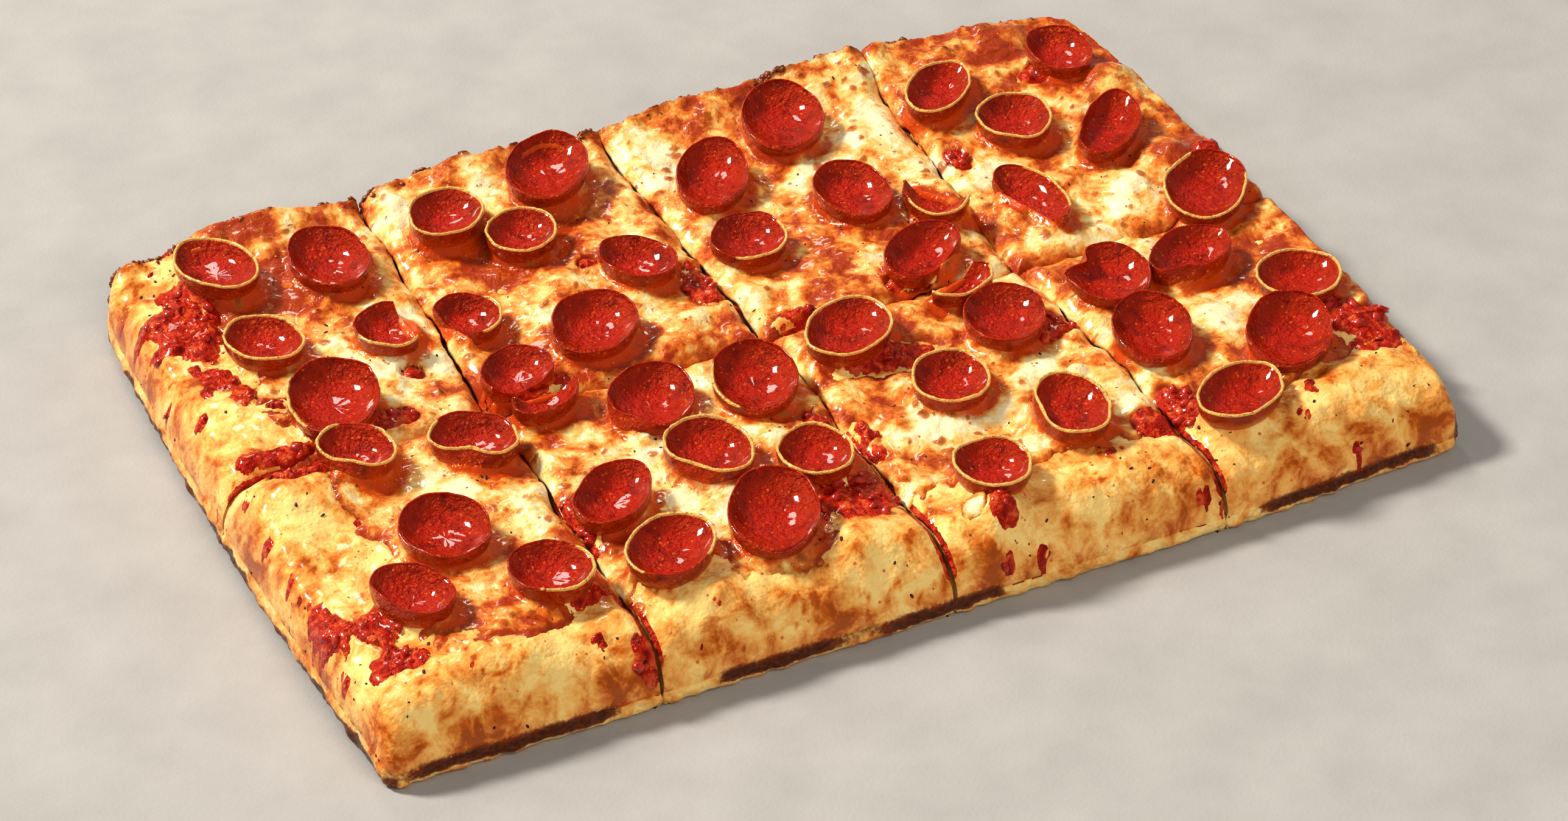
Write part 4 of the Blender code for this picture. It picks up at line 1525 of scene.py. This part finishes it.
    def build_cheese(self, material: bpy.types.Material) -> bpy.types.Object:
        """The melted cheese, which oozes a little over the cuts.

        Args:
            material: The finish.

        Returns:
            The piece.
        """
        s, t, x, y = self.grid(self.cheese_step)
        made = self.layers(s, t, x, y)
        left, right, front, back = self.form.span(self.row, self.column)
        ooze = 0.45 + 0.60 * (swell(x, y, 9.0, 101) + 0.5 * swell(x, y, 3.5, 102))
        if self.column > 1:
            x = x - ooze * np.exp(-(((s - left) / self.ooze_reach) ** 2))
        if self.column < self.form.columns:
            x = x + ooze * np.exp(-(((right - s) / self.ooze_reach) ** 2))
        edge, way = (front, -1) if self.row == "a" else (back, 1)
        y = y + way * ooze * np.exp(-(((t - edge) / self.ooze_reach) ** 2))
        here = made.cheese_here > -0.32
        keep = here[:-1, :-1] & here[1:, :-1] & here[:-1, 1:] & here[1:, 1:]
        thickness = np.clip(self.cheese_thickness * (made.cheese_here + 0.45), 0.35, 2.2)
        shift_x, shift_y = self.form.shift
        skin = Skin()
        add_layer(
            skin, x + shift_x, y + shift_y, made.cheese, made.cheese - thickness, keep,
            **{name: made.values[name] for name in ("warm", "toast", "oil")},
        )
        return skin.build(f"cheese_{self.name}", material)


def slices(form: PizzaForm, pepperoni: list[Curl]) -> list[Slice]:
    """The eight slices, from the back left to the front right.

    Args:
        form: The outline and heights of the whole.
        pepperoni: The curled pieces that lie on them.

    Returns:
        The slices.
    """
    make = partial(Slice, form, pepperoni)
    return [
        make(
            "a", 1, bare_left=27, warmth=0.34,
            sauce=(
                (0.18, 0.67, 12, 23), (0.18, 0.41, 6, 8), (0.22, 0.31, 3, 8, -20, 0.8),
                (0.32, 0.24, 6, 2.5, 0, 0.8), (0.10, 0.36, 2.5, 4, 0, 0.8), (0.03, 0.26, 3, 3),
                (0.66, 0.08, 11, 7), (0.85, 0.24, 4, 4), (0.20, 0.045, 15, 4),
                (0.80, 0.42, 8, 6, 0, 0.6),
            ),
            cheese=((0.12, 0.78, 5, 6), (0.19, 0.60, 5, 3), (0.52, 0.22, 9, 7)),
            warm=(
                (0.70, 0.78, 30, 28, 0, 0.38), (0.75, 0.22, 26, 26, 0, -0.35),
                (0.50, 0.62, 12, 16, 0, 0.25), (0.48, 0.80, 6, 12, 0, -0.35),
            ),
            raised=((0.17, 0.66, 10, 16, 0, 1.6), (0.12, 0.30, 8, 10, 0, 1.5)),
            scorched=(
                (0.10, 0.45, 6, 12, 20, 0.8), (0.20, 0.30, 10, 8, 0, 0.9),
                (0.08, 0.86, 10, 6, 30, 0.7), (0.45, 0.97, 40, 4, 0, 0.7),
            ),
        ),
        make(
            "a", 2, warmth=0.42,
            sauce=((0.94, 0.27, 7, 15), (0.14, 0.05, 15, 6), (0.62, 0.47, 5, 3, 0, 0.7)),
            warm=(
                (0.35, 0.62, 34, 16, 0, 0.35), (0.60, 0.50, 26, 10, 20, 0.3),
                (0.12, 0.82, 10, 22, 0, -0.30), (0.85, 0.62, 12, 26, 0, -0.25),
                (0.70, 0.30, 22, 12, 0, -0.25), (0.45, 0.42, 20, 6, 0, -0.15),
            ),
        ),
        make(
            "a", 3, warmth=0.22,
            sauce=((0.60, 0.04, 10, 5), (0.12, 0.03, 9, 5, 0, 0.8)),
            warm=(
                (0.10, 0.80, 12, 22, 0, -0.10), (0.45, 0.40, 20, 14, 0, 0.15),
                (0.35, 0.12, 26, 16, 0, 0.38), (0.20, 0.95, 24, 8, 0, 0.2),
            ),
        ),
        make(
            "a", 4, warmth=0.34,
            sauce=((0.72, 0.77, 17, 7), (0.12, 0.50, 5, 9, 0, 0.7), (0.95, 0.20, 6, 12, 0, 0.7)),
            cheese=((0.58, 0.12, 10, 13), (0.15, 0.2, 12, 14)),
            warm=(
                (0.14, 0.40, 16, 26, 0, -0.35), (0.55, 0.90, 40, 14, 0, 0.25),
                (0.85, 0.68, 12, 16, 0, 0.28), (0.85, 0.25, 14, 22, 0, 0.30),
                (0.58, 0.12, 10, 12, 0, -0.25),
            ),
            raised=(
                (0.58, 0.14, 9, 12, 0, 3.0), (0.80, 0.20, 7, 9, 0, 2.0),
                (0.88, 0.62, 10, 12, 0, 2.5), (0.97, 0.20, 6, 12, 0, 3.0),
                (0.50, 0.93, 22, 8, 0, 2.0),
            ),
            scorched=((0.85, 0.66, 9, 8, 0, 0.7), (0.96, 0.22, 7, 14, 0, 0.8)),
        ),
        make(
            "b", 1, bare_left=33, bare_front=31, warmth=0.34,
            sauce=(
                (0.03, 0.42, 5, 18), (0.18, 0.36, 7, 8), (0.17, 0.21, 9, 7),
                (0.87, 0.25, 9, 7), (0.98, 0.04, 4, 5), (0.26, 0.95, 14, 5),
            ),
            cheese=((0.60, 0.20, 14, 8),),
            warm=((0.60, 0.70, 30, 30, 0, -0.25), (0.85, 0.38, 14, 14, 0, 0.2)),
            raised=(
                (0.22, 0.88, 17, 12, 25, 3.0), (0.08, 0.70, 9, 14, 0, 2.0),
                (0.55, 0.10, 16, 9, 0, 2.0), (0.20, 0.10, 12, 9, 0, 1.5),
            ),
            scorched=(
                (0.28, 0.93, 13, 6, 10, 1.0), (0.13, 0.62, 7, 9, 0, 0.8),
                (0.10, 0.30, 7, 16, 0, 0.6), (0.45, 0.20, 18, 5, 0, 0.6),
            ),
        ),
        make(
            "b", 2, bare_front=29, warmth=0.24,
            sauce=((0.875, 0.29, 14, 12), (0.95, 0.62, 6, 10, 0, 0.7), (0.02, 0.5, 4, 16, 0, 0.8)),
            cheese=((0.52, 0.19, 19, 10, 0, 1.15),),
            warm=(
                (0.45, 0.60, 30, 24, 0, -0.25), (0.85, 0.35, 16, 16, 0, 0.3),
                (0.50, 0.20, 12, 7, 0, -0.3), (0.25, 0.26, 12, 10, 0, 0.4),
            ),
            raised=((0.20, 0.13, 13, 9, 0, 2.0), (0.80, 0.14, 15, 9, 0, 2.0)),
            scorched=((0.12, 0.18, 12, 8, 0, 0.8), (0.84, 0.24, 14, 6, 0, 0.5)),
        ),
        make(
            "b", 3, bare_front=34, warmth=0.28,
            sauce=(
                (0.31, 0.775, 21, 8), (0.92, 0.72, 11, 8), (0.26, 0.09, 5, 5),
                (0.97, 0.25, 7, 8), (0.05, 0.50, 4, 12, 0, 0.7),
            ),
            cheese=((0.18, 0.13, 5, 5),),
            warm=((0.50, 0.50, 26, 16, 0, -0.2), (0.15, 0.8, 14, 14, 0, 0.25)),
            raised=((0.26, 0.09, 9, 7, 0, 3.0), (0.65, 0.12, 14, 9, 0, 1.5)),
            scorched=((0.10, 0.14, 9, 7, 0, 0.7), (0.60, 0.20, 20, 6, 0, 0.6)),
        ),
        make(
            "b", 4, bare_front=31, warmth=0.40,
            sauce=(
                (0.08, 0.30, 6, 10), (0.89, 0.38, 12, 20, 0, 0.9), (0.22, 0.15, 3.2, 3.2, 45),
                (0.60, 0.86, 12, 4, 0, 0.7),
            ),
            cheese=((0.93, 0.46, 4, 6), (0.86, 0.30, 5, 4), (0.30, 0.62, 14, 10)),
            warm=((0.45, 0.62, 22, 14, 0, -0.22), (0.80, 0.70, 14, 20, 0, 0.2)),
            raised=((0.90, 0.42, 8, 10, 0, 2.5), (0.80, 0.20, 14, 10, 0, 2.0), (0.45, 0.12, 12, 8, 0, 1.5)),
            scorched=((0.75, 0.22, 18, 6, 0, 0.6), (0.30, 0.16, 14, 6, 0, 0.6)),
        ),
    ]


# ---------------------------------------------------------------- scattered pieces


def new_tree(name: str, numbers: dict[str, float], whole: dict[str, int]) -> bpy.types.NodeTree:
    """Starts a geometry node tree.

    Args:
        name: The tree's name.
        numbers: Name and first value of each input that takes any number.
        whole: The same for each input that takes a whole number.

    Returns:
        The tree, with a mesh and a material for its first two inputs.
    """
    tree = bpy.data.node_groups.new(name, "GeometryNodeTree")
    face = tree.interface
    for title in ("Geometry", "Material"):
        face.new_socket(title, in_out="INPUT", socket_type=f"NodeSocket{title}")
    for kind, values in (("NodeSocketFloat", numbers), ("NodeSocketInt", whole)):
        for title, value in values.items():
            face.new_socket(title, in_out="INPUT", socket_type=kind).default_value = value
    face.new_socket("Geometry", in_out="OUTPUT", socket_type="NodeSocketGeometry")
    return tree


def grow(tree: bpy.types.NodeTree, bed: bpy.types.Object, name: str, **inputs: object) -> bpy.types.Object:
    """Runs a tree on a bed of faces and turns the result into a plain piece.

    Args:
        tree: The geometry node tree.
        bed: What the tree starts from. It is removed.
        name: The new piece's name.
        inputs: Values for the tree's inputs, by name.

    Returns:
        The new piece.
    """
    modifier = bed.modifiers.new("grow", "NODES")
    modifier.node_group = tree
    for item in tree.interface.items_tree:
        if item.in_out == "INPUT" and item.name in inputs:
            modifier[item.identifier] = inputs[item.name]
    mesh = bpy.data.meshes.new_from_object(bed.evaluated_get(bpy.context.evaluated_depsgraph_get()))
    bed.modifiers.remove(modifier)
    bpy.data.objects.remove(bed)
    mesh.name = name
    mesh.shade_smooth()
    return link_object(name, mesh)


def morsel_tree() -> bpy.types.NodeTree:
    """A tree that scatters small uneven lumps over faces, more where the faces' amount is higher.

    Returns:
        The tree, with inputs for the lumps' number, sizes, shape, tumble and seed.
    """
    sizes = {"Density": 1000.0, "Smallest": 0.0005, "Largest": 0.001, "Flatness": 0.5}
    shape = {"Stretch": 1.0, "Unevenness": 0.3, "Tumble": 0.5}
    tree = new_tree("scatter_morsels", {**sizes, **shape}, {"Seed": 0})
    w = Wiring(tree)
    node, start = w.node, w.node("NodeGroupInput").outputs
    seed, largest, tumble = start["Seed"], start["Largest"], start["Tumble"]

    amount = node("GeometryNodeInputNamedAttribute", {"Name": "amount"}, data_type="FLOAT")
    thick = w.sum("MULTIPLY", amount.outputs["Attribute"], start["Density"])
    taken = {"Mesh": start["Geometry"], "Density": thick, "Seed": seed}
    spread = node("GeometryNodeDistributePointsOnFaces", taken).outputs
    ball = node("GeometryNodeMeshIcoSphere", {"Radius": 1.0, "Subdivisions": 1}).outputs["Mesh"]

    most = node("ShaderNodeCombineXYZ", {"X": tumble, "Y": tumble, "Z": FULL_TURN}).outputs["Vector"]
    taken = {"Seed": seed, "Min": (0.0, 0.0, 0.0), "Max": most}
    turn = node("FunctionNodeRandomValue", taken, data_type="FLOAT_VECTOR").outputs["Value"]
    taken = {"Rotation": spread["Rotation"], "Rotate By": turn}
    lean = node("FunctionNodeRotateRotation", taken, rotation_space="LOCAL").outputs["Rotation"]
    taken = {2: start["Smallest"], 3: largest, "Seed": w.sum("ADD", seed, 7)}
    size = node("FunctionNodeRandomValue", taken, data_type="FLOAT").outputs[1]
    long, flat = (w.sum("MULTIPLY", size, start[title]) for title in ("Stretch", "Flatness"))
    scale = node("ShaderNodeCombineXYZ", {"X": long, "Y": size, "Z": flat}).outputs["Vector"]

    taken = {"Points": spread["Points"], "Instance": ball, "Rotation": lean, "Scale": scale}
    put = node("GeometryNodeInstanceOnPoints", taken).outputs["Instances"]
    whole = node("GeometryNodeRealizeInstances", {"Geometry": put}).outputs["Geometry"]

    place = node("GeometryNodeInputPosition").outputs["Position"]
    cloud = node("ShaderNodeTexNoise", {"Vector": place, "Scale": w.sum("DIVIDE", 0.7, largest)})
    taken = {0: cloud.outputs["Color"], 1: (0.5, 0.5, 0.5)}
    swing = node("ShaderNodeVectorMath", taken, operation="SUBTRACT").outputs["Vector"]
    taken = {0: swing, "Scale": w.sum("MULTIPLY", start["Unevenness"], largest)}
    push = node("ShaderNodeVectorMath", taken, operation="SCALE").outputs["Vector"]
    shaped = node("GeometryNodeSetPosition", {"Geometry": whole, "Offset": push}).outputs["Geometry"]
    dressed = node("GeometryNodeSetMaterial", {"Geometry": shaped, "Material": start["Material"]})
    node("NodeGroupOutput", {"Geometry": dressed.outputs["Geometry"]})
    return tree


class Bed(Enum):
    """Where small things lie."""

    CHEESE = "cheese"
    SAUCE = "sauce"
    CRUST = "crust"
    OILY = "oily"
    CRISP = "crisp"


@dataclass
class Scatter:
    """One kind of small thing, all over the pizza."""

    name: str
    slot: str
    bed: Bed
    finish: Morsel
    density: float  # things on each square metre where they lie thickest
    smallest: float
    largest: float
    flatness: float = 0.5
    stretch: float = 1.0
    unevenness: float = 0.4
    tumble: float = 0.5
    seed: int = 1
    step: float = 2.5

    def amount(self, part: Slice, made: Layers, s: Array, t: Array, x: Array, y: Array) -> Array:
        """How thickly the things lie at each place, from 0 to 1.

        Args:
            part: The slice.
            made: The slice's layers at these places.
            s: Places on the plain rectangle, along X.
            t: Places on the plain rectangle, along Y.
            x: Places on the real outline, along X.
            y: Places on the real outline, along Y.

        Returns:
            The amount for each place.
        """
        free = smooth(made.values["away"] / 1.0)
        cheese, sauce = smooth(made.cheese_here / 0.3), smooth(made.sauce_here / 0.3)
        if self.bed is Bed.CHEESE:
            return free * cheese * smooth(swell(x, y, 30.0, 111 + self.seed) + 0.7)
        if self.bed is Bed.SAUCE:
            return free * sauce * (1 - cheese)
        if self.bed is Bed.CRUST:
            return (1 - cheese) * smooth(made.values["bare"] * 2) * smooth(swell(x, y, 15.0, 113) + 0.4)
        if self.bed is Bed.OILY:
            return free * (0.2 + 0.8 * made.values["oil"])
        dark = part.fried(s, t, x, y, made.crust)
        edge = np.minimum(part.form.depth / 2 - t, s + part.form.length / 2)
        return smooth(dark * 1.5) * (edge < 4.0) * smooth(swell(x, y, 13.0, 117) + 0.8)

    def build(self, tree: bpy.types.NodeTree, parts: list[Slice]) -> bpy.types.Object:
        """Lays out the bed of all slices, then scatters the things on it.

        Args:
            tree: The tree that scatters them.
            parts: The slices.

        Returns:
            The piece.
        """
        skin = Skin()
        for part in parts:
            s, t, x, y = part.grid(self.step)
            made = part.layers(s, t, x, y)
            stacked = [made.crust] if self.bed is Bed.CRISP else [made.crust, made.sauce, made.cheese]
            high = np.maximum.reduce(stacked)
            skin.add(
                part.moved(x, y, high), [grid_faces(*x.shape)],
                amount=self.amount(part, made, s, t, x, y).ravel(),
            )
        material = self.finish.make()
        bed = skin.build(f"{self.name}_bed", material)
        return grow(
            tree, bed, self.name, Material=material, Density=self.density, Seed=self.seed,
            Smallest=self.smallest * MM, Largest=self.largest * MM, Flatness=self.flatness,
            Stretch=self.stretch, Unevenness=self.unevenness, Tumble=self.tumble,
        )


def scatters() -> list[Scatter]:
    """All the kinds of small things.

    Returns:
        The kinds, in the order in which they are made.
    """
    herb = Morsel("dry_herb", linear(0.10, 0.07, 0.03), linear(0.28, 0.22, 0.08), 0.7, 0.0)
    tomato = Morsel("tomato_bit", linear(0.55, 0.05, 0.03), linear(0.82, 0.22, 0.12), 0.25, 0.7, 2.0)
    oil = Morsel("oil_bead", linear(0.90, 0.50, 0.15), linear(0.85, 0.38, 0.08), 0.05, 1.0, 2.0)
    crumb = Morsel("crisp_crumb", linear(0.30, 0.11, 0.03), linear(0.60, 0.28, 0.08), 0.4, 0.25, 1.5)
    char = Morsel("char_fleck", linear(0.10, 0.04, 0.02), linear(0.40, 0.17, 0.06), 0.6, 0.1, 1.5)
    return [
        Scatter("herb_flecks", "herbs", Bed.CHEESE, herb, 3500, 0.18, 0.50, 0.35, 2.2, 0.5, 0.4, 3),
        Scatter("tomato_bits", "sauce", Bed.SAUCE, tomato, 22000, 0.7, 2.6, 0.5, 1.3, 1.0, 0.8, 4),
        Scatter("oil_beads", "cheese", Bed.OILY, oil, 26000, 0.25, 0.7, 0.35, 1.0, 0.2, 0.1, 6),
        Scatter("crisp_crumbs", "crust", Bed.CRISP, crumb, 300000, 0.6, 1.8, 0.7, 1.2, 0.8, 1.2, 7, 1.6),
        Scatter("char_flecks", "crust", Bed.CRUST, char, 9000, 0.25, 0.8, 0.3, 1.6, 0.7, 0.4, 8),
    ]


# ---------------------------------------------------------------- the setting


class Lamp(NamedTuple):
    """A soft light: where it stands in degrees and metres, its side, its watts and its colour."""

    name: str
    azimuth: float
    elevation: float
    away: float
    size: float
    power: float
    colour: tuple[float, float, float]
    mirrored: bool = True  # whether wet surfaces mirror it


@dataclass(frozen=True)
class Studio:
    """The camera, the pale floor and the lights."""

    target: tuple[float, float, float] = (0.21, -15.31, 0.0)
    distance: float = 1493.4
    azimuth: float = -25.95
    elevation: float = 36.5
    lens: float = 97.5
    sensor: float = 36.0
    seen: tuple[float, float] = (0.05, 30.0)  # nearest and farthest that the camera sees, in metres
    floor_size: float = 8.0
    floor_light: Colour = linear(0.702, 0.692, 0.682)
    floor_dark: Colour = linear(0.665, 0.655, 0.645)
    lamps: tuple[Lamp, ...] = (
        Lamp("key", -135.0, 43.0, 5.0, 0.80, 322.0, (1.0, 0.95, 0.87)),
        Lamp("fill", 5.0, 42.0, 2.6, 1.6, 33.0, (1.0, 0.94, 0.86), mirrored=False),
        Lamp("glint", 172.0, 42.0, 2.4, 0.40, 8.0, (1.0, 0.97, 0.92)),
    )
    surround: Colour = (1.0, 0.97, 0.92, 1.0)
    surround_strength: float = 0.22
    exposure: float = 0.10
    gamma: float = 0.86

    def toward(self, azimuth: float, elevation: float) -> Vector:
        """The direction from the pizza to something at an azimuth and elevation."""
        a, e = math.radians(azimuth), math.radians(elevation)
        return Vector((math.sin(a) * math.cos(e), -math.cos(a) * math.cos(e), math.sin(e)))

    def camera(self) -> None:
        """Makes the scene's camera."""
        data = bpy.data.cameras.new("camera")
        data.lens, data.sensor_width = self.lens, self.sensor
        data.clip_start, data.clip_end = self.seen
        obj = link_object("camera", data)
        back = self.toward(self.azimuth, self.elevation)
        obj.location = (Vector(self.target) + back * self.distance) * MM
        obj.rotation_euler = (-back).to_track_quat("-Z", "Y").to_euler()
        bpy.context.scene.camera = obj

    def floor(self) -> None:
        """Makes the plain floor."""
        half = self.floor_size / 2
        mesh = bpy.data.meshes.new("floor")
        corners = [(x * half, y * half, 0) for x, y in ((-1, -1), (1, -1), (1, 1), (-1, 1))]
        mesh.from_pydata(corners, [], [(0, 1, 2, 3)])
        r = Recipe("floor")
        r.feed("Base Color", r.ramp(r.noise(30.0, 6.0), (0.3, self.floor_dark), (0.7, self.floor_light)))
        r.bump((r.noise(1.5, 4.0), 0.12))
        r.plain(Roughness=0.8)
        mesh.materials.append(r.material)
        obj = link_object("floor", mesh)

    def lights(self) -> None:
        """Makes the square soft lights, which face the pizza, and the pale surround."""
        for lamp in self.lamps:
            data = bpy.data.lights.new(lamp.name, "AREA")
            data.size, data.energy, data.color = lamp.size, lamp.power, lamp.colour
            obj = link_object(lamp.name, data)
            back = self.toward(lamp.azimuth, lamp.elevation)
            obj.location = back * lamp.away
            obj.rotation_euler = (-back).to_track_quat("-Z", "Y").to_euler()
            obj.visible_glossy = lamp.mirrored
        world = bpy.data.worlds.new("surround")
        world.use_nodes = True
        background = world.node_tree.nodes["Background"]
        background.inputs["Color"].default_value = self.surround
        background.inputs["Strength"].default_value = self.surround_strength
        bpy.context.scene.world = world
        view = bpy.context.scene.view_settings
        view.view_transform, view.exposure, view.gamma = "Standard", self.exposure, self.gamma


def settle(piece: bpy.types.Object, slot: str, *nodes: str) -> None:
    """Fixes a piece to the body and hides the solids that it stands for.

    Args:
        piece: The piece.
        slot: The name of its finish; not used.
        nodes: The names of the solids.
    """
    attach(piece, BODY)
    if nodes:
        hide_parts(*nodes)
    LOG.info("%s: %d faces", piece.name, len(piece.data.polygons))


def main() -> None:
    """Makes everything, piece by piece."""
    logging.basicConfig(level=logging.INFO, format="%(message)s")
    studio = Studio()
    studio.camera()
    studio.floor()
    studio.lights()
    form, pepperoni = PizzaForm(), curls()
    crust, sauce, cheese = BakedCrust().make(), CrushedTomato().make(), MeltedCheese().make()
    meat = CuredSausage().make()
    parts = slices(form, pepperoni)
    for part in parts:
        settle(part.build_crust(crust), "crust", f"slice_{part.name}")
        settle(part.build_sauce(sauce), "sauce")
        settle(part.build_cheese(cheese), "cheese")
    for curl in pepperoni:
        settle(curl.build(meat), "pepperoni", curl.node)
    tree = morsel_tree()
    for scatter in scatters():
        settle(scatter.build(tree, parts), scatter.slot)


if __name__ == "__main__":
    main()
